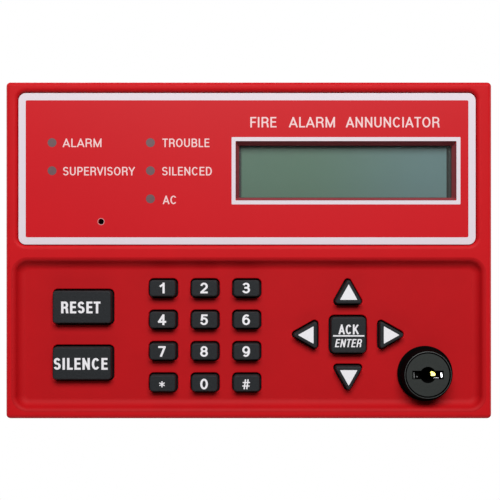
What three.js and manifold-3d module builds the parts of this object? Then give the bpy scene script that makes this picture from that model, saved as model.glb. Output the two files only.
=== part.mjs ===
// Wall-mounted fire alarm annunciator panel: a moulded cover with a label, a display, lamps, a rubber keypad
// and a keyswitch, on a shallow wall box. Millimetres, +Z up, the front looks along -Y, the wall is at y = 0.
//
// Every piece is drawn as seen from the front: x to the right, y up, z the distance from the wall. The last
// group turns that drawing upright, so that z becomes -Y.
import * as THREE from 'three';
import { mergeVertices } from 'three/addons/utils/BufferGeometryUtils.js';
import Module from 'manifold-3d';

const wasm = await Module();
wasm.setup();

// ---------------------------------------------------------------- driving dimensions
const gap = 0.3; // between pieces that touch on the real panel
const ease = 0.4; // around a piece that drops into an opening

const panel = { width: 228, height: 158, depth: 34, corner: 2, edge: 1.0, wall: 2.5, wallGap: 0.8 };
const label = { x: -0.8, y: 38.3, width: 214.8, height: 71.2, corner: 3.5, thick: 0.5, sunk: 1.3 };
const keyRecess = { x: 0, y: -39.8, width: 220, height: 71, corner: 7, slope: 5, deep: 4 };

const display = { x: 45.7, y: 37.4, viewWidth: 99, viewHeight: 24.6 };
const displayOpening = { width: 103.8, height: 27.9, chamfer: 1.6, corner: 1.8 };
const lens = { margin: 2.6, thick: 1.5 };
const bezel = { rim: 5.2, top: 3.4, skin: 0.8, deep: 9.4 };
const glass = { thick: 2.2 };
const backlight = { thick: 5 };
const displayBoard = { width: 122, height: 44, thick: 1.6, holeInset: 2.9 };

const board = {
  left: -104, right: 104, bottom: -71, step: 8, riseRight: -20, top: 66, thick: 1.6, hole: 1.7, screwInset: 5,
};
const keyMat = { left: -97, right: 67, bottom: -71.5, top: -10, thick: 1.5 };
const key = { travel: 1, skirt: 0.55, skirtThick: 0.7, proud: 4.2, slack: 0.8, round: 0.8, inset: 0.7 };

const lampHole = 2.3;
const lamp = { radius: 1.5, flange: 1.9, flangeThick: 1 };
const lampSites = {
  led_alarm: [-92.4, 50.6],
  led_supervisory: [-92.4, 37.4],
  led_trouble: [-46.2, 50.6],
  led_silenced: [-46.2, 37.4],
  led_ac_power: [-46.2, 24.2],
};
const sounder = { x: -69.4, y: 13.5, radius: 7, port: 1.4 };

const lock = {
  x: 83.1, y: -58, flange: 13, flangeThick: 1.5, base: 12.4, nose: 11.2, proud: 8.7, barrel: 9.3, bore: 6.4,
  barrelLength: 19, plug: 10, plugDeep: 5, shaft: 6, wellDeep: 16, well: 3.65, slotLength: 14.2,
  slotWidth: 3.7, slotDeep: 3.5, nutWall: 2.7, nutThick: 3.6, camReach: 12.5, camWidth: 8, camThick: 1.6,
};
const microswitch = { width: 10.6, height: 19.8, thick: 6.4, away: 14.4, post: 3, postY: 6, tabPitch: 6 };

const box = { back: 2.5, wall: 2, rise: 12, ribRise: 3, ribThick: 1.6, ribX: 88, ribY: 60 };
const entry = { x: -40, y: 20, width: 36, height: 26, corner: 5, lip: 2.5 };
const hanger = { x: 41.5, y: 50, head: 4.5, slot: 2.4, rise: 9 };
const boss = { radius: 3.4, slimRadius: 2.8, pilot: 1.6 };
const screw = { shank: 1.3, head: 2.8, headThick: 2, bite: 3 };
const coverScrew = {
  x: 46, fromWall: 9, shank: 1.5, head: 3, headThick: 2, long: 9, bossDeep: 7, bossWide: 9,
};
const cross = { length: 3.3, width: 0.8, deep: 0.9 };

const numberKey = {
  width: 12.2, height: 7.6, corner: 1.5, left: -40.4, top: -17.8, pitchX: 19.7, pitchY: 14.85,
};
const wideKey = { x: -78.2, width: 27.4, height: 15.2, corner: 1.5 };
const wideKeySites = { reset: -26.6, silence: -53 };
const enterKey = { width: 16.4, height: 16.8, corner: 1.8, x: 46.8, y: -39.7 };
const arrowKey = { wide: 13.5, tall: 12, corner: 1, reach: 14.7 };

// What stands on the back of the main board.
const terminals = { x: -50, y: -62, width: 48, height: 11, deep: 10, ways: 8 };
const address = { x: -90, y: -20, size: 10, deep: 4.5, dial: 3 };
const controller = { x: -10, y: -30, size: 14, deep: 1.6 };
const busDriver = { x: -70, y: -40, width: 6, height: 10, deep: 2.2 };
const capacitor = { x: -90, y: -50, radius: 5, deep: 11 };
const connector = { x: 40, y: -60, width: 8, height: 6, deep: 6, wall: 1 };
const ribbon = { x: 20, width: 40, thick: 0.9 };

// ---------------------------------------------------------------- levels, as distances from the wall
const front = panel.depth;
const labelFloor = front - label.sunk - label.thick - gap;
const keyFloor = front - keyRecess.deep;
const labelInside = labelFloor - panel.wall;
const keyInside = keyFloor - panel.wall;
const skirtTop = keyInside - ease;
const skirtFoot = skirtTop - key.skirtThick;
const boardFront = skirtFoot - key.travel - 0.2;
const boardBack = boardFront - board.thick;
const lensFront = labelInside - gap;
const bezelFront = lensFront - lens.thick - gap;
const glassFront = bezelFront - bezel.skin - gap;
const backlightFront = glassFront - glass.thick - gap;
const displayBoardFront = bezelFront - bezel.deep - gap;
const displayBoardBack = displayBoardFront - displayBoard.thick;
const keyTop = keyFloor + key.proud;
const lockFoot = keyFloor + gap;
const lockFace = keyFloor + lock.proud;
const barrelEnd = lockFoot - lock.barrelLength;
const shaftEnd = barrelEnd - gap;
const nutRadius = lock.barrel + lock.nutWall;
const camFront = shaftEnd - gap;
const camBack = camFront - lock.camThick;
const switchBack = barrelEnd - gap - lock.camThick / 2 - microswitch.thick / 2;
const switchFront = switchBack + microswitch.thick;
const chipLevel = boardBack - gap;
const pilotDeep = gap + screw.bite + gap; // from a board's face, past its post's foot and the screw's tip

// ---------------------------------------------------------------- outlines
const polygon = (points) => new THREE.Shape(points.map(([x, y]) => new THREE.Vector2(x, y)));

// A rectangle about the origin whose corners are arcs of a few straight steps.
function roundedRect(width, height, radius, steps = 4) {
  const r = Math.min(radius, 0.49 * width, 0.49 * height);
  const points = [];
  [[1, -1], [1, 1], [-1, 1], [-1, -1]].forEach(([sideX, sideY], quarter) => {
    for (let i = 0; i <= steps; i += 1) {
      const angle = Math.PI / 2 * (quarter - 1 + i / steps);
      points.push([
        sideX * (width / 2 - r) + r * Math.cos(angle),
        sideY * (height / 2 - r) + r * Math.sin(angle),
      ]);
    }
  });
  return polygon(points);
}

// An isosceles triangle with round corners, centred half way up. Turn 0 points up, 1 left, 2 down, 3 right.
function roundedTriangle(wide, tall, radius, turn, steps = 3) {
  const corners = [[0, tall / 2], [-wide / 2, -tall / 2], [wide / 2, -tall / 2]];
  const origin = new THREE.Vector2();
  const turned = corners.map(([x, y]) => new THREE.Vector2(x, y).rotateAround(origin, turn * Math.PI / 2));
  const points = turned.flatMap((corner, i) => {
    const before = turned[(i + 2) % 3].clone().sub(corner).normalize();
    const after = turned[(i + 1) % 3].clone().sub(corner).normalize();
    const half = Math.acos(before.dot(after)) / 2;
    const centre = before.clone().add(after).normalize().multiplyScalar(radius / Math.sin(half)).add(corner);
    const start = corner.clone().addScaledVector(before, radius / Math.tan(half)).sub(centre).angle();
    return Array.from({ length: steps + 1 }, (_, step) => {
      const angle = start + (Math.PI - 2 * half) * step / steps;
      return [centre.x + radius * Math.cos(angle), centre.y + radius * Math.sin(angle)];
    });
  });
  return polygon(points);
}

// ---------------------------------------------------------------- solids
// A shape carried from one distance from the wall to another. A taper adds taper.deep past both ends, over
// which the outline draws in by taper.inset, in a straight chamfer, or in a round one of taper.steps steps.
function slab(shape, from, to, taper = null) {
  const bevel = taper ? {
    bevelThickness: taper.deep,
    bevelSize: taper.inset,
    bevelOffset: -taper.inset,
    bevelSegments: taper.steps ?? 1,
  } : {};
  const settings = { depth: to - from, steps: 1, bevelEnabled: taper !== null, ...bevel };
  return new THREE.ExtrudeGeometry(shape, settings).translate(0, 0, from);
}

function toManifold(geometry) {
  const bare = geometry.clone();
  bare.deleteAttribute('normal');
  bare.deleteAttribute('uv');
  const merged = mergeVertices(bare, 1e-4);
  return new wasm.Manifold(new wasm.Mesh({
    numProp: 3,
    vertProperties: new Float32Array(merged.attributes.position.array),
    triVerts: new Uint32Array(merged.index.array),
  }));
}

function toGeometry(manifold) {
  const mesh = manifold.getMesh();
  const geometry = new THREE.BufferGeometry();
  geometry.setAttribute('position', new THREE.BufferAttribute(new Float32Array(mesh.vertProperties), 3));
  geometry.setIndex(new THREE.BufferAttribute(new Uint32Array(mesh.triVerts), 1));
  geometry.computeVertexNormals();
  return geometry;
}

const join = (first, ...rest) => rest.reduce((whole, piece) => whole.add(piece), first);
const cut = (first, ...tools) => tools.reduce((whole, tool) => whole.subtract(tool), first);

const block = (shape, from, to, taper) => toManifold(slab(shape, from, to, taper));
const rod = (radius, from, to, sides = 24) => {
  const geometry = new THREE.CylinderGeometry(radius, radius, to - from, sides);
  return toManifold(geometry.rotateX(Math.PI / 2).translate(0, 0, (from + to) / 2));
};
const cone = (rear, nose, from, to, sides = 32) => {
  const geometry = new THREE.CylinderGeometry(nose, rear, to - from, sides);
  return toManifold(geometry.rotateX(Math.PI / 2).translate(0, 0, (from + to) / 2));
};
const brick = (width, height, from, to) => {
  const geometry = new THREE.BoxGeometry(width, height, to - from);
  return toManifold(geometry.translate(0, 0, (from + to) / 2));
};
const at = (solid, x, y) => solid.translate([x, y, 0]);

// ---------------------------------------------------------------- materials
function finish(color, roughness, metalness = 0) {
  return new THREE.MeshStandardMaterial({ color, roughness, metalness });
}
const finishes = {
  redPlastic: finish(0xc4222a, 0.45),
  label: finish(0xcf2a31, 0.4),
  rubber: finish(0x2e3135, 0.8),
  clear: finish(0xdfe6e4, 0.1),
  displayGlass: finish(0x5f7f6d, 0.2),
  backlight: finish(0xe6eee0, 0.5),
  blackSteel: finish(0x1b1c1d, 0.5, 0.6),
  board: finish(0x1f5a36, 0.5),
  chip: finish(0x1a1a1b, 0.6),
  lamp: finish(0x8a6468, 0.35),
  lockPlastic: finish(0x141516, 0.4),
  steel: finish(0xb9bcc0, 0.35, 1),
  connector: finish(0xe8e2d2, 0.5),
  terminal: finish(0x2f7d46, 0.5),
  cable: finish(0x9aa0a6, 0.6),
};

// ---------------------------------------------------------------- places that several pieces share
const keys = [];
// A rounded rectangle's outline, as a function of how far it is grown.
const grownRect = ({ width, height, corner }) => (grow) => (
  roundedRect(width + 2 * grow, height + 2 * grow, corner + grow, 2)
);
['1', '2', '3', '4', '5', '6', '7', '8', '9', 'star', '0', 'hash'].forEach((name, i) => {
  keys.push({
    name: `key_${name}`,
    x: numberKey.left + numberKey.pitchX * (i % 3),
    y: numberKey.top - numberKey.pitchY * Math.floor(i / 3),
    outline: grownRect(numberKey),
  });
});
Object.entries(wideKeySites).forEach(([name, y]) => {
  keys.push({ name: `key_${name}`, x: wideKey.x, y, outline: grownRect(wideKey) });
});
keys.push({ name: 'key_enter', x: enterKey.x, y: enterKey.y, outline: grownRect(enterKey) });
// Grown by g, a triangle's base moves out by g and its apex by g / sin(half its apex angle).
const apexHalf = Math.atan(arrowKey.wide / 2 / arrowKey.tall);
const baseHalf = (Math.PI / 2 - apexHalf) / 2;
['up', 'left', 'down', 'right'].forEach((name, turn) => {
  const out = arrowKey.reach + arrowKey.tall / 2;
  const angle = Math.PI / 2 * (turn + 1);
  const shift = (grow) => (grow / Math.sin(apexHalf) - grow) / 2;
  keys.push({
    name: `key_${name}`,
    x: enterKey.x + out * Math.cos(angle),
    y: enterKey.y + out * Math.sin(angle),
    outline: (grow) => {
      const wide = arrowKey.wide + 2 * grow / Math.tan(baseHalf);
      const tall = arrowKey.tall + grow + grow / Math.sin(apexHalf);
      return roundedTriangle(wide, tall, arrowKey.corner + grow / 2, turn);
    },
    shift: (grow) => [shift(grow) * Math.cos(angle), shift(grow) * Math.sin(angle)],
  });
});
// A key's outline grown by some distance, as a block standing at the key's place.
const keyBlock = (k, grow, from, to, taper) => {
  const [dx, dy] = k.shift ? k.shift(grow) : [0, 0];
  return at(block(k.outline(grow), from, to, taper), k.x + dx, k.y + dy);
};

const corners = (x, y) => [[-x, y], [x, y], [-x, -y], [x, -y]];
const inner = { width: panel.width - 2 * panel.wall, height: panel.height - 2 * panel.wall };
const tray = { width: inner.width - 2 * ease, height: inner.height - 2 * ease };
const boardScrews = [
  [board.left + board.screwInset, board.top - board.screwInset],
  [board.riseRight - board.screwInset, board.top - board.screwInset],
  [board.right - board.screwInset, board.step - board.screwInset],
  [board.left + board.screwInset, board.bottom + board.screwInset],
];
const displayScrews = corners(
  displayBoard.width / 2 - displayBoard.holeInset,
  displayBoard.height / 2 - displayBoard.holeInset,
).map(([x, y]) => [display.x + x, display.y + y]);
const coverScrewSites = [-coverScrew.x, coverScrew.x];
const switchX = lock.x - microswitch.away - microswitch.width / 2;

// ---------------------------------------------------------------- pieces
function frontCover() {
  const rearEdge = panel.wallGap;
  const shell = block(
    roundedRect(panel.width, panel.height, panel.corner), rearEdge, front - panel.edge,
    { deep: panel.edge, inset: panel.edge * 0.8, steps: 2 },
  );
  // The chamfer is at both ends of a slab, so the rear one is filled out square.
  const base = block(roundedRect(panel.width, panel.height, panel.corner), rearEdge, front / 2);
  const behind = brick(2 * panel.width, 2 * panel.height, rearEdge - 2 * panel.edge, rearEdge);
  const trimmed = cut(join(shell, base), behind);

  const cavity = block(roundedRect(inner.width, inner.height, 1), rearEdge - 1, keyInside);
  const pocketFoot = keyRecess.y + keyRecess.height / 2 + panel.wall;
  const upperHeight = inner.height / 2 - pocketFoot;
  const upperRect = roundedRect(inner.width, upperHeight, 1);
  const upperCavity = at(block(upperRect, keyInside - 1, labelInside), 0, pocketFoot + upperHeight / 2);
  const labelRect = roundedRect(label.width + 2 * ease, label.height + 2 * ease, label.corner + ease);
  const labelPocket = at(block(labelRect, labelFloor, front + 1), label.x, label.y);
  const keyPocket = at(block(
    roundedRect(keyRecess.width, keyRecess.height, keyRecess.corner), front, front + 1,
    { deep: keyRecess.deep, inset: keyRecess.slope, steps: 4 },
  ), keyRecess.x, keyRecess.y);
  const window = at(block(
    roundedRect(displayOpening.width, displayOpening.height, displayOpening.corner), labelFloor, front,
    { deep: panel.wall, inset: displayOpening.chamfer },
  ), display.x, display.y);
  const windowThrough = at(brick(
    displayOpening.width - 2 * displayOpening.chamfer, displayOpening.height - 2 * displayOpening.chamfer,
    labelInside - 1, labelFloor,
  ), display.x, display.y);
  const lampHoles = Object.values(lampSites).map(([x, y]) => at(rod(lampHole, keyInside, front, 16), x, y));
  const soundHole = at(rod(sounder.port, keyInside, front, 16), sounder.x, sounder.y);
  const keyHoles = keys.map((k) => keyBlock(k, key.slack, keyInside - 1, front + 2));
  const lockHole = at(rod(lock.barrel + ease, keyInside - 1, front, 32), lock.x, lock.y);

  // Posts that run from a board's front up into the cover, and the pilot holes in their feet.
  const posts = (sites, radius, foot) => sites.map(
    ([x, y]) => at(rod(radius, foot + gap, labelInside + 0.5, 12), x, y),
  );
  const boardPosts = posts(boardScrews, boss.radius, boardFront);
  const displayPosts = posts(displayScrews, boss.slimRadius, displayBoardFront);
  const pilotHoles = (sites, foot) => sites.map(
    ([x, y]) => at(rod(boss.pilot, foot, foot + pilotDeep, 10), x, y),
  );
  const pilots = [...pilotHoles(boardScrews, boardFront), ...pilotHoles(displayScrews, displayBoardFront)];
  const screwHoles = coverScrewSites.map(
    (x) => coverScrewTool(x, coverScrew.shank + gap, coverScrew.head + gap),
  );

  const hollow = cut(trimmed, cavity, upperCavity);
  return cut(
    join(hollow, ...boardPosts, ...displayPosts),
    labelPocket, keyPocket, window, windowThrough,
    ...lampHoles, soundHole, ...keyHoles, lockHole, ...pilots, ...screwHoles,
  );
}

// A cover screw's outline, standing up from the bottom edge: shank inwards, and the head sunk in the wall.
function coverScrewTool(x, shankRadius, headRadius) {
  const bottom = -panel.height / 2;
  const headTop = bottom + coverScrew.headThick;
  const shank = new THREE.CylinderGeometry(shankRadius, shankRadius, coverScrew.long + gap, 16);
  const head = new THREE.CylinderGeometry(headRadius, headRadius, coverScrew.headThick + 1, 20);
  return join(
    toManifold(shank.translate(x, headTop + (coverScrew.long + gap) / 2 - 0.1, coverScrew.fromWall)),
    toManifold(head.translate(x, headTop - (coverScrew.headThick + 1) / 2, coverScrew.fromWall)),
  );
}

function coverScrewPiece(x) {
  const bottom = -panel.height / 2;
  const headTop = bottom + coverScrew.headThick - gap;
  const shank = new THREE.CylinderGeometry(coverScrew.shank, coverScrew.shank, coverScrew.long, 12);
  const head = new THREE.CylinderGeometry(coverScrew.head, coverScrew.head, coverScrew.headThick - gap, 16);
  const across = new THREE.BoxGeometry(cross.length, 2 * cross.deep, cross.width);
  const upright = new THREE.BoxGeometry(cross.width, 2 * cross.deep, cross.length);
  const z = coverScrew.fromWall;
  return cut(
    join(
      toManifold(shank.translate(x, headTop + coverScrew.long / 2 - 0.2, z)),
      toManifold(head.translate(x, headTop - (coverScrew.headThick - gap) / 2, z)),
    ),
    toManifold(across.translate(x, bottom, z)),
    toManifold(upright.translate(x, bottom, z)),
  );
}

function rearHousing() {
  const plate = block(roundedRect(tray.width, tray.height, 2), 0, box.back);
  const wall = cut(
    block(roundedRect(tray.width, tray.height, 2), box.back / 2, box.rise),
    block(roundedRect(tray.width - 2 * box.wall, tray.height - 2 * box.wall, 1), box.back, box.rise + 1),
  );
  const collarTop = box.back + entry.lip;
  const collarRect = roundedRect(
    entry.width + 2 * entry.lip, entry.height + 2 * entry.lip, entry.corner + entry.lip,
  );
  const collar = at(block(collarRect, box.back / 2, collarTop), entry.x, entry.y);
  const entryRect = roundedRect(entry.width, entry.height, entry.corner);
  const entryHole = at(block(entryRect, -1, collarTop + 1), entry.x, entry.y);
  const ribTop = box.back + box.ribRise;
  const rib = brick(tray.width - box.wall, box.ribThick, box.back / 2, ribTop);
  const upright = brick(box.ribThick, tray.height - box.wall, box.back / 2, ribTop);
  const ribs = [
    ...[-box.ribY, box.ribY].map((y) => at(rib, 0, y)),
    ...[-box.ribX, box.ribX].map((x) => at(upright, x, 0)),
  ];
  // Keyholes that drop over the wall screws' heads: a round opening with a slot going up from it.
  const keyholes = corners(hanger.x, hanger.y).flatMap(([x, y]) => [
    at(rod(hanger.head, -1, ribTop + 1, 24), x, y),
    at(brick(2 * hanger.slot, hanger.rise, -1, ribTop + 1), x, y + hanger.rise / 2),
    at(rod(hanger.slot, -1, ribTop + 1, 16), x, y + hanger.rise),
  ]);
  const screwBosses = coverScrewSites.map((x) => {
    const long = coverScrew.bossDeep + box.wall;
    const y = -tray.height / 2 + long / 2;
    return at(brick(coverScrew.bossWide, long, box.back / 2, box.rise), x, y);
  });
  const screwHoles = coverScrewSites.map((x) => {
    const pilot = new THREE.CylinderGeometry(coverScrew.shank + gap, coverScrew.shank + gap, 14, 16);
    return toManifold(pilot.translate(x, -tray.height / 2 + 6, coverScrew.fromWall));
  });
  const switchPosts = [-microswitch.postY, microswitch.postY].map(
    (y) => at(rod(microswitch.post, box.back / 2, switchBack - gap, 12), switchX, lock.y + y),
  );
  const solid = join(plate, wall, collar, ...ribs, ...screwBosses, ...switchPosts);
  return cut(solid, entryHole, ...keyholes, ...screwHoles);
}

function displayBezel() {
  const [width, height] = [display.viewWidth + 2 * bezel.rim, display.viewHeight + 2 * bezel.top];
  const side = 2 * bezel.skin;
  return cut(
    block(roundedRect(width, height, 1), bezelFront - bezel.deep, bezelFront),
    brick(width - side, height - side, bezelFront - bezel.deep - 1, bezelFront - bezel.skin),
    brick(display.viewWidth, display.viewHeight, bezelFront - 2 * bezel.skin, bezelFront + 1),
  );
}

function displaySheet(frontLevel, thick) {
  const clear = 2 * (bezel.skin + gap);
  const width = display.viewWidth + 2 * bezel.rim - clear;
  const height = display.viewHeight + 2 * bezel.top - clear;
  return brick(width, height, frontLevel - thick, frontLevel);
}

function displayCircuitBoard() {
  const holes = displayScrews.map(
    ([x, y]) => at(rod(boss.pilot + 0.1, 0, 40, 12), x - display.x, y - display.y),
  );
  return cut(
    block(roundedRect(displayBoard.width, displayBoard.height, 1), displayBoardBack, displayBoardFront),
    ...holes,
  );
}

// A flat cable from the display board's back to the main board's back, in one loop that hangs below both.
function displayRibbon() {
  const { thick } = ribbon;
  const top = display.y - displayBoard.height / 2 + 6;
  const low = board.step - 8;
  const route = [
    [displayBoardBack - gap, top], [displayBoardBack - 3, top], [displayBoardBack - 3, low - 3],
    [boardBack - 4, low - 3], [boardBack - 4, low], [boardBack - gap, low],
  ];
  const other = [
    [boardBack - gap, low - thick], [boardBack - 4 + thick, low - thick],
    [boardBack - 4 + thick, low - 3 - thick], [displayBoardBack - 3 - thick, low - 3 - thick],
    [displayBoardBack - 3 - thick, top + thick], [displayBoardBack - gap, top + thick],
  ];
  const settings = { depth: ribbon.width, bevelEnabled: false };
  const geometry = new THREE.ExtrudeGeometry(polygon([...route, ...other]), settings);
  // Drawn with the distance from the wall across, so it is turned to run along x.
  geometry.translate(0, 0, -ribbon.width / 2).rotateY(-Math.PI / 2);
  return toManifold(geometry);
}

function mainBoard() {
  const { left, right, bottom, top, step, riseRight } = board;
  const outline = polygon([
    [left, bottom], [right, bottom], [right, step], [riseRight, step], [riseRight, top], [left, top],
  ]);
  const holes = boardScrews.map(([x, y]) => at(rod(board.hole, 0, 40, 12), x, y));
  const lockNotch = at(rod(nutRadius + 2, 0, 40, 24), lock.x, lock.y);
  return cut(block(outline, boardBack, boardFront), ...holes, lockNotch);
}

function keypadMat() {
  const { left, right, bottom, top } = keyMat;
  const sheet = at(
    block(roundedRect(right - left, top - bottom, 2), boardFront + gap, boardFront + gap + keyMat.thick),
    (left + right) / 2, (bottom + top) / 2,
  );
  const openings = keys.map((k) => keyBlock(k, key.slack + key.skirt + ease, 0, 40));
  const posts = boardScrews.map(([x, y]) => at(rod(boss.radius + ease, 0, 40, 12), x, y));
  return cut(sheet, ...openings, ...posts);
}

function keyCap(k) {
  const skirt = keyBlock(k, key.slack + key.skirt, skirtFoot, skirtTop);
  const round = { deep: key.round, inset: key.inset, steps: 2 };
  const cap = keyBlock(k, 0, skirtFoot + 0.2, keyTop - key.round, round);
  const below = at(brick(2 * wideKey.width, 2 * wideKey.width, skirtFoot - 2, skirtFoot), k.x, k.y);
  return cut(join(skirt, cap), below);
}

function lampBody() {
  const stem = labelFloor - lamp.radius;
  const dome = new THREE.SphereGeometry(lamp.radius, 12, 8).rotateX(Math.PI / 2).translate(0, 0, stem);
  return join(
    rod(lamp.flange, boardFront + gap, boardFront + gap + lamp.flangeThick, 12),
    rod(lamp.radius, boardFront + gap, stem, 12),
    toManifold(dome),
  );
}

function sounderBody() {
  const top = labelInside - gap;
  return cut(rod(sounder.radius, boardFront + gap, top, 24), rod(1, top - 1.5, top + 1, 12));
}

function lockHousing() {
  const outer = join(
    rod(lock.flange, lockFoot, lockFoot + lock.flangeThick, 32),
    cone(lock.base, lock.nose, lockFoot, lockFace),
    rod(lock.barrel, barrelEnd, lockFoot + 1, 32),
  );
  return cut(
    outer,
    rod(lock.bore, barrelEnd - 1, lockFace + 1, 24),
    rod(lock.plug + ease, lockFace - lock.plugDeep - gap, lockFace + 1, 32),
  );
}

function lockPlug() {
  const face = lockFace - gap;
  const solid = join(
    rod(lock.plug, lockFace - lock.plugDeep, face, 32),
    rod(lock.shaft, shaftEnd, lockFace - lock.plugDeep + 0.5, 24),
  );
  return cut(
    solid,
    rod(lock.well, face - lock.wellDeep, face + 1, 20),
    brick(lock.slotLength, lock.slotWidth, face - lock.slotDeep, face + 1),
    rod(boss.pilot, shaftEnd - gap, shaftEnd + screw.bite + gap, 10),
  );
}

function lockCam() {
  const outline = roundedRect(lock.camReach + lock.camWidth / 2, lock.camWidth, lock.camWidth / 2);
  const arm = at(block(outline, camBack, camFront), (lock.camReach - lock.camWidth / 2) / 2, 0);
  return cut(arm, rod(boss.pilot, 0, front, 10));
}

// A screw driven forward from the back through something of some thickness, and on into its post.
function panScrew(headFront, thick) {
  const headBack = headFront - screw.headThick;
  const head = rod(screw.head, headBack, headFront, 14);
  const shank = rod(screw.shank, headFront - 0.5, headFront + gap + thick + gap + screw.bite, 10);
  const across = brick(cross.length, cross.width, headBack - 1, headBack + cross.deep);
  const upright = brick(cross.width, cross.length, headBack - 1, headBack + cross.deep);
  return cut(join(head, shank), across, upright);
}

function lockNut() {
  const top = keyInside - gap;
  const hex = new THREE.CylinderGeometry(nutRadius, nutRadius, lock.nutThick, 6);
  return cut(
    toManifold(hex.rotateX(Math.PI / 2).translate(0, 0, top - lock.nutThick / 2)),
    rod(lock.barrel + gap, top - lock.nutThick - 1, top + 1, 32),
  );
}

function microswitchBody() {
  const body = brick(microswitch.width, microswitch.height, switchBack, switchFront);
  const plunger = at(brick(1.6, 2, switchBack + 2, switchBack + 4.4), microswitch.width / 2 + 0.4, 0);
  const tab = brick(4, 0.8, switchBack + 3, switchBack + 6);
  const tabs = [-1, 0, 1].map((i) => at(tab, -microswitch.width / 2 - 1.5, i * microswitch.tabPitch));
  return join(body, plunger, ...tabs);
}

function plainConnector() {
  const { width, height, deep, wall } = connector;
  return cut(
    brick(width, height, chipLevel - deep, chipLevel),
    brick(width - 2 * wall, height - 2 * wall, chipLevel - deep - 1, chipLevel - 2 * wall),
  );
}

// The two-wire lead from the microswitch's tabs to the board's connector.
function keyswitchLead() {
  const start = [switchX - microswitch.width / 2 - 3.5 - gap - 0.8, lock.y, switchBack + 4.5];
  const end = [connector.x, connector.y, chipLevel - 2 * connector.wall - gap];
  const route = new THREE.CatmullRomCurve3([
    new THREE.Vector3(...start),
    new THREE.Vector3(start[0] - 4, start[1] - 0.5, start[2]),
    new THREE.Vector3((start[0] + end[0]) / 2 - 1, end[1], start[2] - 1),
    new THREE.Vector3(end[0], end[1], start[2] + 2),
    new THREE.Vector3(...end),
  ]);
  const section = roundedRect(1.6, 1.6, 0.8, 2);
  const geometry = new THREE.ExtrudeGeometry(section, { steps: 14, extrudePath: route });
  return toManifold(geometry);
}

function terminalBlock() {
  const { width, height, deep, ways } = terminals;
  const rear = chipLevel - deep;
  const tools = [];
  for (let i = 0; i < ways; i += 1) {
    const x = (i - (ways - 1) / 2) * width / ways;
    const wireHole = new THREE.BoxGeometry(3.6, 5, 4).translate(x, -height / 2 + 1.5, chipLevel - 5);
    tools.push(toManifold(wireHole), at(rod(1.9, rear - 1, rear + 1.6, 12), x, 1));
  }
  return cut(brick(width, height, rear, chipLevel), ...tools);
}

function addressSwitch() {
  const rear = chipLevel - address.deep;
  const well = rod(address.dial + ease, rear - 1, chipLevel - 2, 20);
  return cut(brick(address.size, address.size, rear, chipLevel), well);
}

function addressDial() {
  const rear = chipLevel - address.deep - gap;
  const slot = brick(1.5 * address.dial, 0.9, rear - 1, rear + 0.9);
  return cut(rod(address.dial, rear, chipLevel - 2 - gap, 20), slot);
}

// ---------------------------------------------------------------- assembly
const panelGroup = new THREE.Group();
function add(name, solid, material, x = 0, y = 0) {
  const mesh = new THREE.Mesh(toGeometry(solid), material);
  mesh.name = name;
  mesh.position.set(x, y, 0);
  panelGroup.add(mesh);
}

add('front_cover', frontCover(), finishes.redPlastic);
add('rear_housing', rearHousing(), finishes.redPlastic);
const labelOutline = roundedRect(label.width, label.height, label.corner);
const labelSheet = cut(
  block(labelOutline, labelFloor + gap, labelFloor + gap + label.thick),
  at(brick(displayOpening.width, displayOpening.height, 0, 40), display.x - label.x, display.y - label.y),
  at(rod(sounder.port, 0, 40, 16), sounder.x - label.x, sounder.y - label.y),
);
add('overlay_label', labelSheet, finishes.label, label.x, label.y);
const lensOutline = roundedRect(
  displayOpening.width + 2 * lens.margin, displayOpening.height + 2 * lens.margin, 1,
);
const lensSheet = block(lensOutline, lensFront - lens.thick, lensFront);
const glassSheet = displaySheet(glassFront, glass.thick);
const backlightSheet = displaySheet(backlightFront, backlight.thick);
add('display_window', lensSheet, finishes.clear, display.x, display.y);
add('display_bezel', displayBezel(), finishes.blackSteel, display.x, display.y);
add('display_glass', glassSheet, finishes.displayGlass, display.x, display.y);
add('display_backlight', backlightSheet, finishes.backlight, display.x, display.y);
add('display_board', displayCircuitBoard(), finishes.board, display.x, display.y);
add('display_ribbon', displayRibbon(), finishes.cable, ribbon.x);
add('main_board', mainBoard(), finishes.board);
add('keypad_mat', keypadMat(), finishes.rubber);
Object.entries(lampSites).forEach(([name, [x, y]]) => add(name, lampBody(), finishes.lamp, x, y));
add('piezo_sounder', sounderBody(), finishes.chip, sounder.x, sounder.y);
add('terminal_block', terminalBlock(), finishes.terminal, terminals.x, terminals.y);
add('address_switch', addressSwitch(), finishes.chip, address.x, address.y);
add('address_dial', addressDial(), finishes.connector, address.x, address.y);
const onBoard = (width, height, deep) => brick(width, height, chipLevel - deep, chipLevel);
const controllerChip = onBoard(controller.size, controller.size, controller.deep);
const busDriverChip = onBoard(busDriver.width, busDriver.height, busDriver.deep);
const capacitorCan = rod(capacitor.radius, chipLevel - capacitor.deep, chipLevel, 20);
add('microcontroller_chip', controllerChip, finishes.chip, controller.x, controller.y);
add('bus_driver_chip', busDriverChip, finishes.chip, busDriver.x, busDriver.y);
add('filter_capacitor', capacitorCan, finishes.chip, capacitor.x, capacitor.y);
keys.forEach((k) => add(k.name, keyCap(k), finishes.rubber));
add('lock_housing', lockHousing(), finishes.lockPlastic, lock.x, lock.y);
add('lock_plug', lockPlug(), finishes.lockPlastic, lock.x, lock.y);
add('lock_cam', lockCam(), finishes.steel, lock.x, lock.y);
add('lock_cam_screw', panScrew(camBack - gap, lock.camThick), finishes.steel, lock.x, lock.y);
add('lock_nut', lockNut(), finishes.steel, lock.x, lock.y);
add('lock_microswitch', microswitchBody(), finishes.chip, switchX, lock.y);
add('keyswitch_lead', keyswitchLead(), finishes.cable);
add('keyswitch_connector', plainConnector(), finishes.connector, connector.x, connector.y);
boardScrews.forEach(([x, y], i) => {
  add(`board_screw_${i + 1}`, panScrew(boardBack - gap, board.thick), finishes.steel, x, y);
});
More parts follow.
